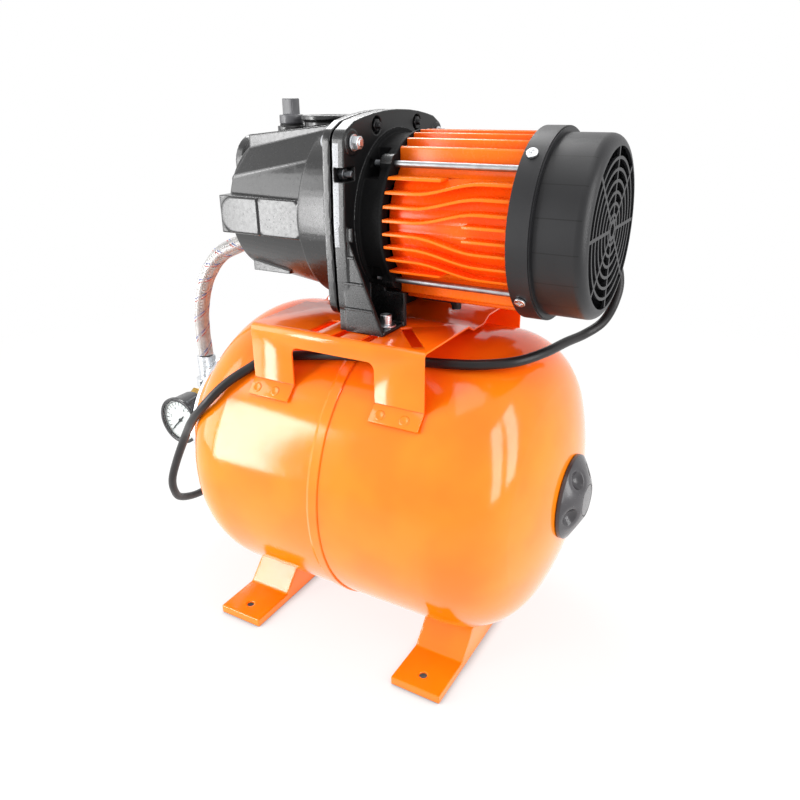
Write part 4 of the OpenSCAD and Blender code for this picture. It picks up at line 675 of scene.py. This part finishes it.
def route(points, steps):
    """Points along a smooth curve through the given ones."""
    ends = [points[0]] + points + [points[-1]]
    line = []
    for a, b, c, d in zip(ends, ends[1:], ends[2:], ends[3:]):
        for k in range(steps):
            t = k / steps
            line.append(Vector([0.5 * (2 * q + (r - p) * t + (2 * p - 5 * q + 4 * r - s) * t ** 2
                                       + (3 * q - p - 3 * r + s) * t ** 3) for p, q, r, s in zip(a, b, c, d)]))
    return line + [Vector(points[-1])]


def strand(shape, line, offset, radius, coat, sides=6):
    """Adds a thin round line to a bmesh, held off a route by offset(distance) = (across, up)."""
    rings = []
    far = 0.0
    side = Vector((0, 1, 0))
    for k, spot in enumerate(line):
        if k:
            far += (spot - line[k - 1]).length
        ahead = (line[min(k + 1, len(line) - 1)] - line[max(k - 1, 0)]).normalized()
        side = (side - ahead * side.dot(ahead)).normalized()
        up = ahead.cross(side)
        across, high = offset(far)
        centre = spot + side * across + up * high
        rings.append([shape.verts.new(centre + (side * math.cos(a) + up * math.sin(a)) * radius)
                      for a in (2 * math.pi * j / sides for j in range(sides))])
    for low, high in zip(rings, rings[1:]):
        for j in range(sides):
            n = (j + 1) % sides
            shape.faces.new((low[j], low[n], high[n], high[j])).material_index = coat
    shape.faces.new(rings[0][::-1]).material_index = coat
    shape.faces.new(rings[-1]).material_index = coat


hose_line = route([(-0.124, 0.0, 0.344), (-0.137, 0.0, 0.339), (-0.163, 0.0, 0.326), (-0.185, 0.0, 0.3),
                   (-0.197, 0.0, 0.268), (-0.2, 0.0, 0.24), (-0.199, 0.0, 0.215)], 24)
braid = bmesh.new()
strand(braid, hose_line, lambda far: (0.0, 0.0), 0.0072, 0, 20)
carriers = 12
lay = 0.044
braid_radius = 0.00755
braid_wave = 0.00028
for way in (-1, 1):
    for carrier in range(carriers):
        tracer = 1 + (way > 0 and carrier in (2, 8)) + 2 * (way > 0 and carrier in (3, 9))
        for thin in (-1, 0, 1):
            def weave(far, way=way, carrier=carrier, thin=thin):
                turn = 2 * math.pi * ((carrier + 0.3 * thin) / carriers + way * far / lay)
                phase = math.pi * carriers * far / lay
                if way > 0:
                    dip = math.cos(phase + math.pi * carrier - math.pi / 4)
                else:
                    dip = -math.cos(math.pi * carrier - phase - math.pi / 4)
                high = braid_radius + braid_wave * dip
                return high * math.cos(turn), high * math.sin(turn)
            dyed = thin == 0 and tracer > 1
            strand(braid, hose_line, weave, 0.0006 if dyed else 0.00045, tracer if dyed else 1, 5)
# the tube under the braid: grey rubber, seen only between the wires
tube_rubber = finish("hose_rubber", "#A8A8A8", "#989899", 8.0, 1.0, (0.5, 0.6))
# stainless wire: pale grey with a soft metal shine
stainless = finish("stainless_braid_wire", "#D2D1CF", "#BDBCBA", 4.0, 0.8, (0.3, 0.42), metal=0.3, relief=0.01)
# dyed polyester yarn: dull, so that it stands out from the wire
red_thread = finish("red_tracer_thread", "#C23A33", "#B0322C", 3.0, 0.6, (0.5, 0.6))
blue_thread = finish("blue_tracer_thread", "#3A4FA6", "#324696", 3.0, 0.6, (0.5, 0.6))
hose = piece("braided_hose_line", braid, [tube_rubber, stainless, red_thread, blue_thread], "set",
             ["braided_hose"])


# Motor lead
# A three-core lead in a black PVC sheath from the terminal box round the tank to the pressure switch.
lead_line = route([(x + 0.031, y, z) for x, y, z in (
    (0.138, 0.086, 0.371), (0.156, 0.086, 0.368), (0.176, 0.078, 0.352), (0.187, 0.068, 0.33), (0.187, 0.06, 0.312),
    (0.181, 0.053, 0.296), (0.171, 0.038, 0.288), (0.163, 0.012, 0.287), (0.156, -0.016, 0.286),
    (0.142, -0.042, 0.284), (0.118, -0.057, 0.282), (0.092, -0.062, 0.28), (0.058, -0.066, 0.278),
    (0.016, -0.072, 0.2765), (-0.03, -0.078, 0.2715), (-0.066, -0.085, 0.2655), (-0.082, -0.096, 0.256),
    (-0.098, -0.11, 0.243), (-0.114, -0.12, 0.225), (-0.138, -0.115, 0.202), (-0.162, -0.103, 0.178),
    (-0.184, -0.099, 0.144), (-0.199, -0.096, 0.116), (-0.207, -0.089, 0.096), (-0.214, -0.076, 0.08),
    (-0.222, -0.046, 0.066), (-0.229, -0.01, 0.06), (-0.232, 0.028, 0.062), (-0.231, 0.056, 0.074),
    (-0.23, 0.068, 0.092), (-0.23, 0.07, 0.107))], 6)
# extruded PVC: even black with a soft sheen and a faint grain
sheath = finish("pvc_sheath", "#1A1718", "#141112", 15.0, 1.0, (0.34, 0.46), relief=0.02)
sheath.node_tree.nodes["Principled BSDF"].inputs["Specular IOR Level"].default_value = 0.35
lead = bpy.data.curves.new("motor_lead", "CURVE")
lead.dimensions = "3D"
lead.bevel_depth = 0.004
lead.bevel_resolution = 5
lead.use_fill_caps = True
run = lead.splines.new("POLY")
run.points.add(len(lead_line) - 1)
for knot, spot in zip(run.points, lead_line):
    knot.co = (*spot, 1.0)
run.use_smooth = True
lead.materials.append(sheath)
cable = bpy.data.objects.new("motor_lead", lead)
bpy.context.scene.collection.objects.link(cable)
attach(cable, "set")
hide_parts("motor_cable")
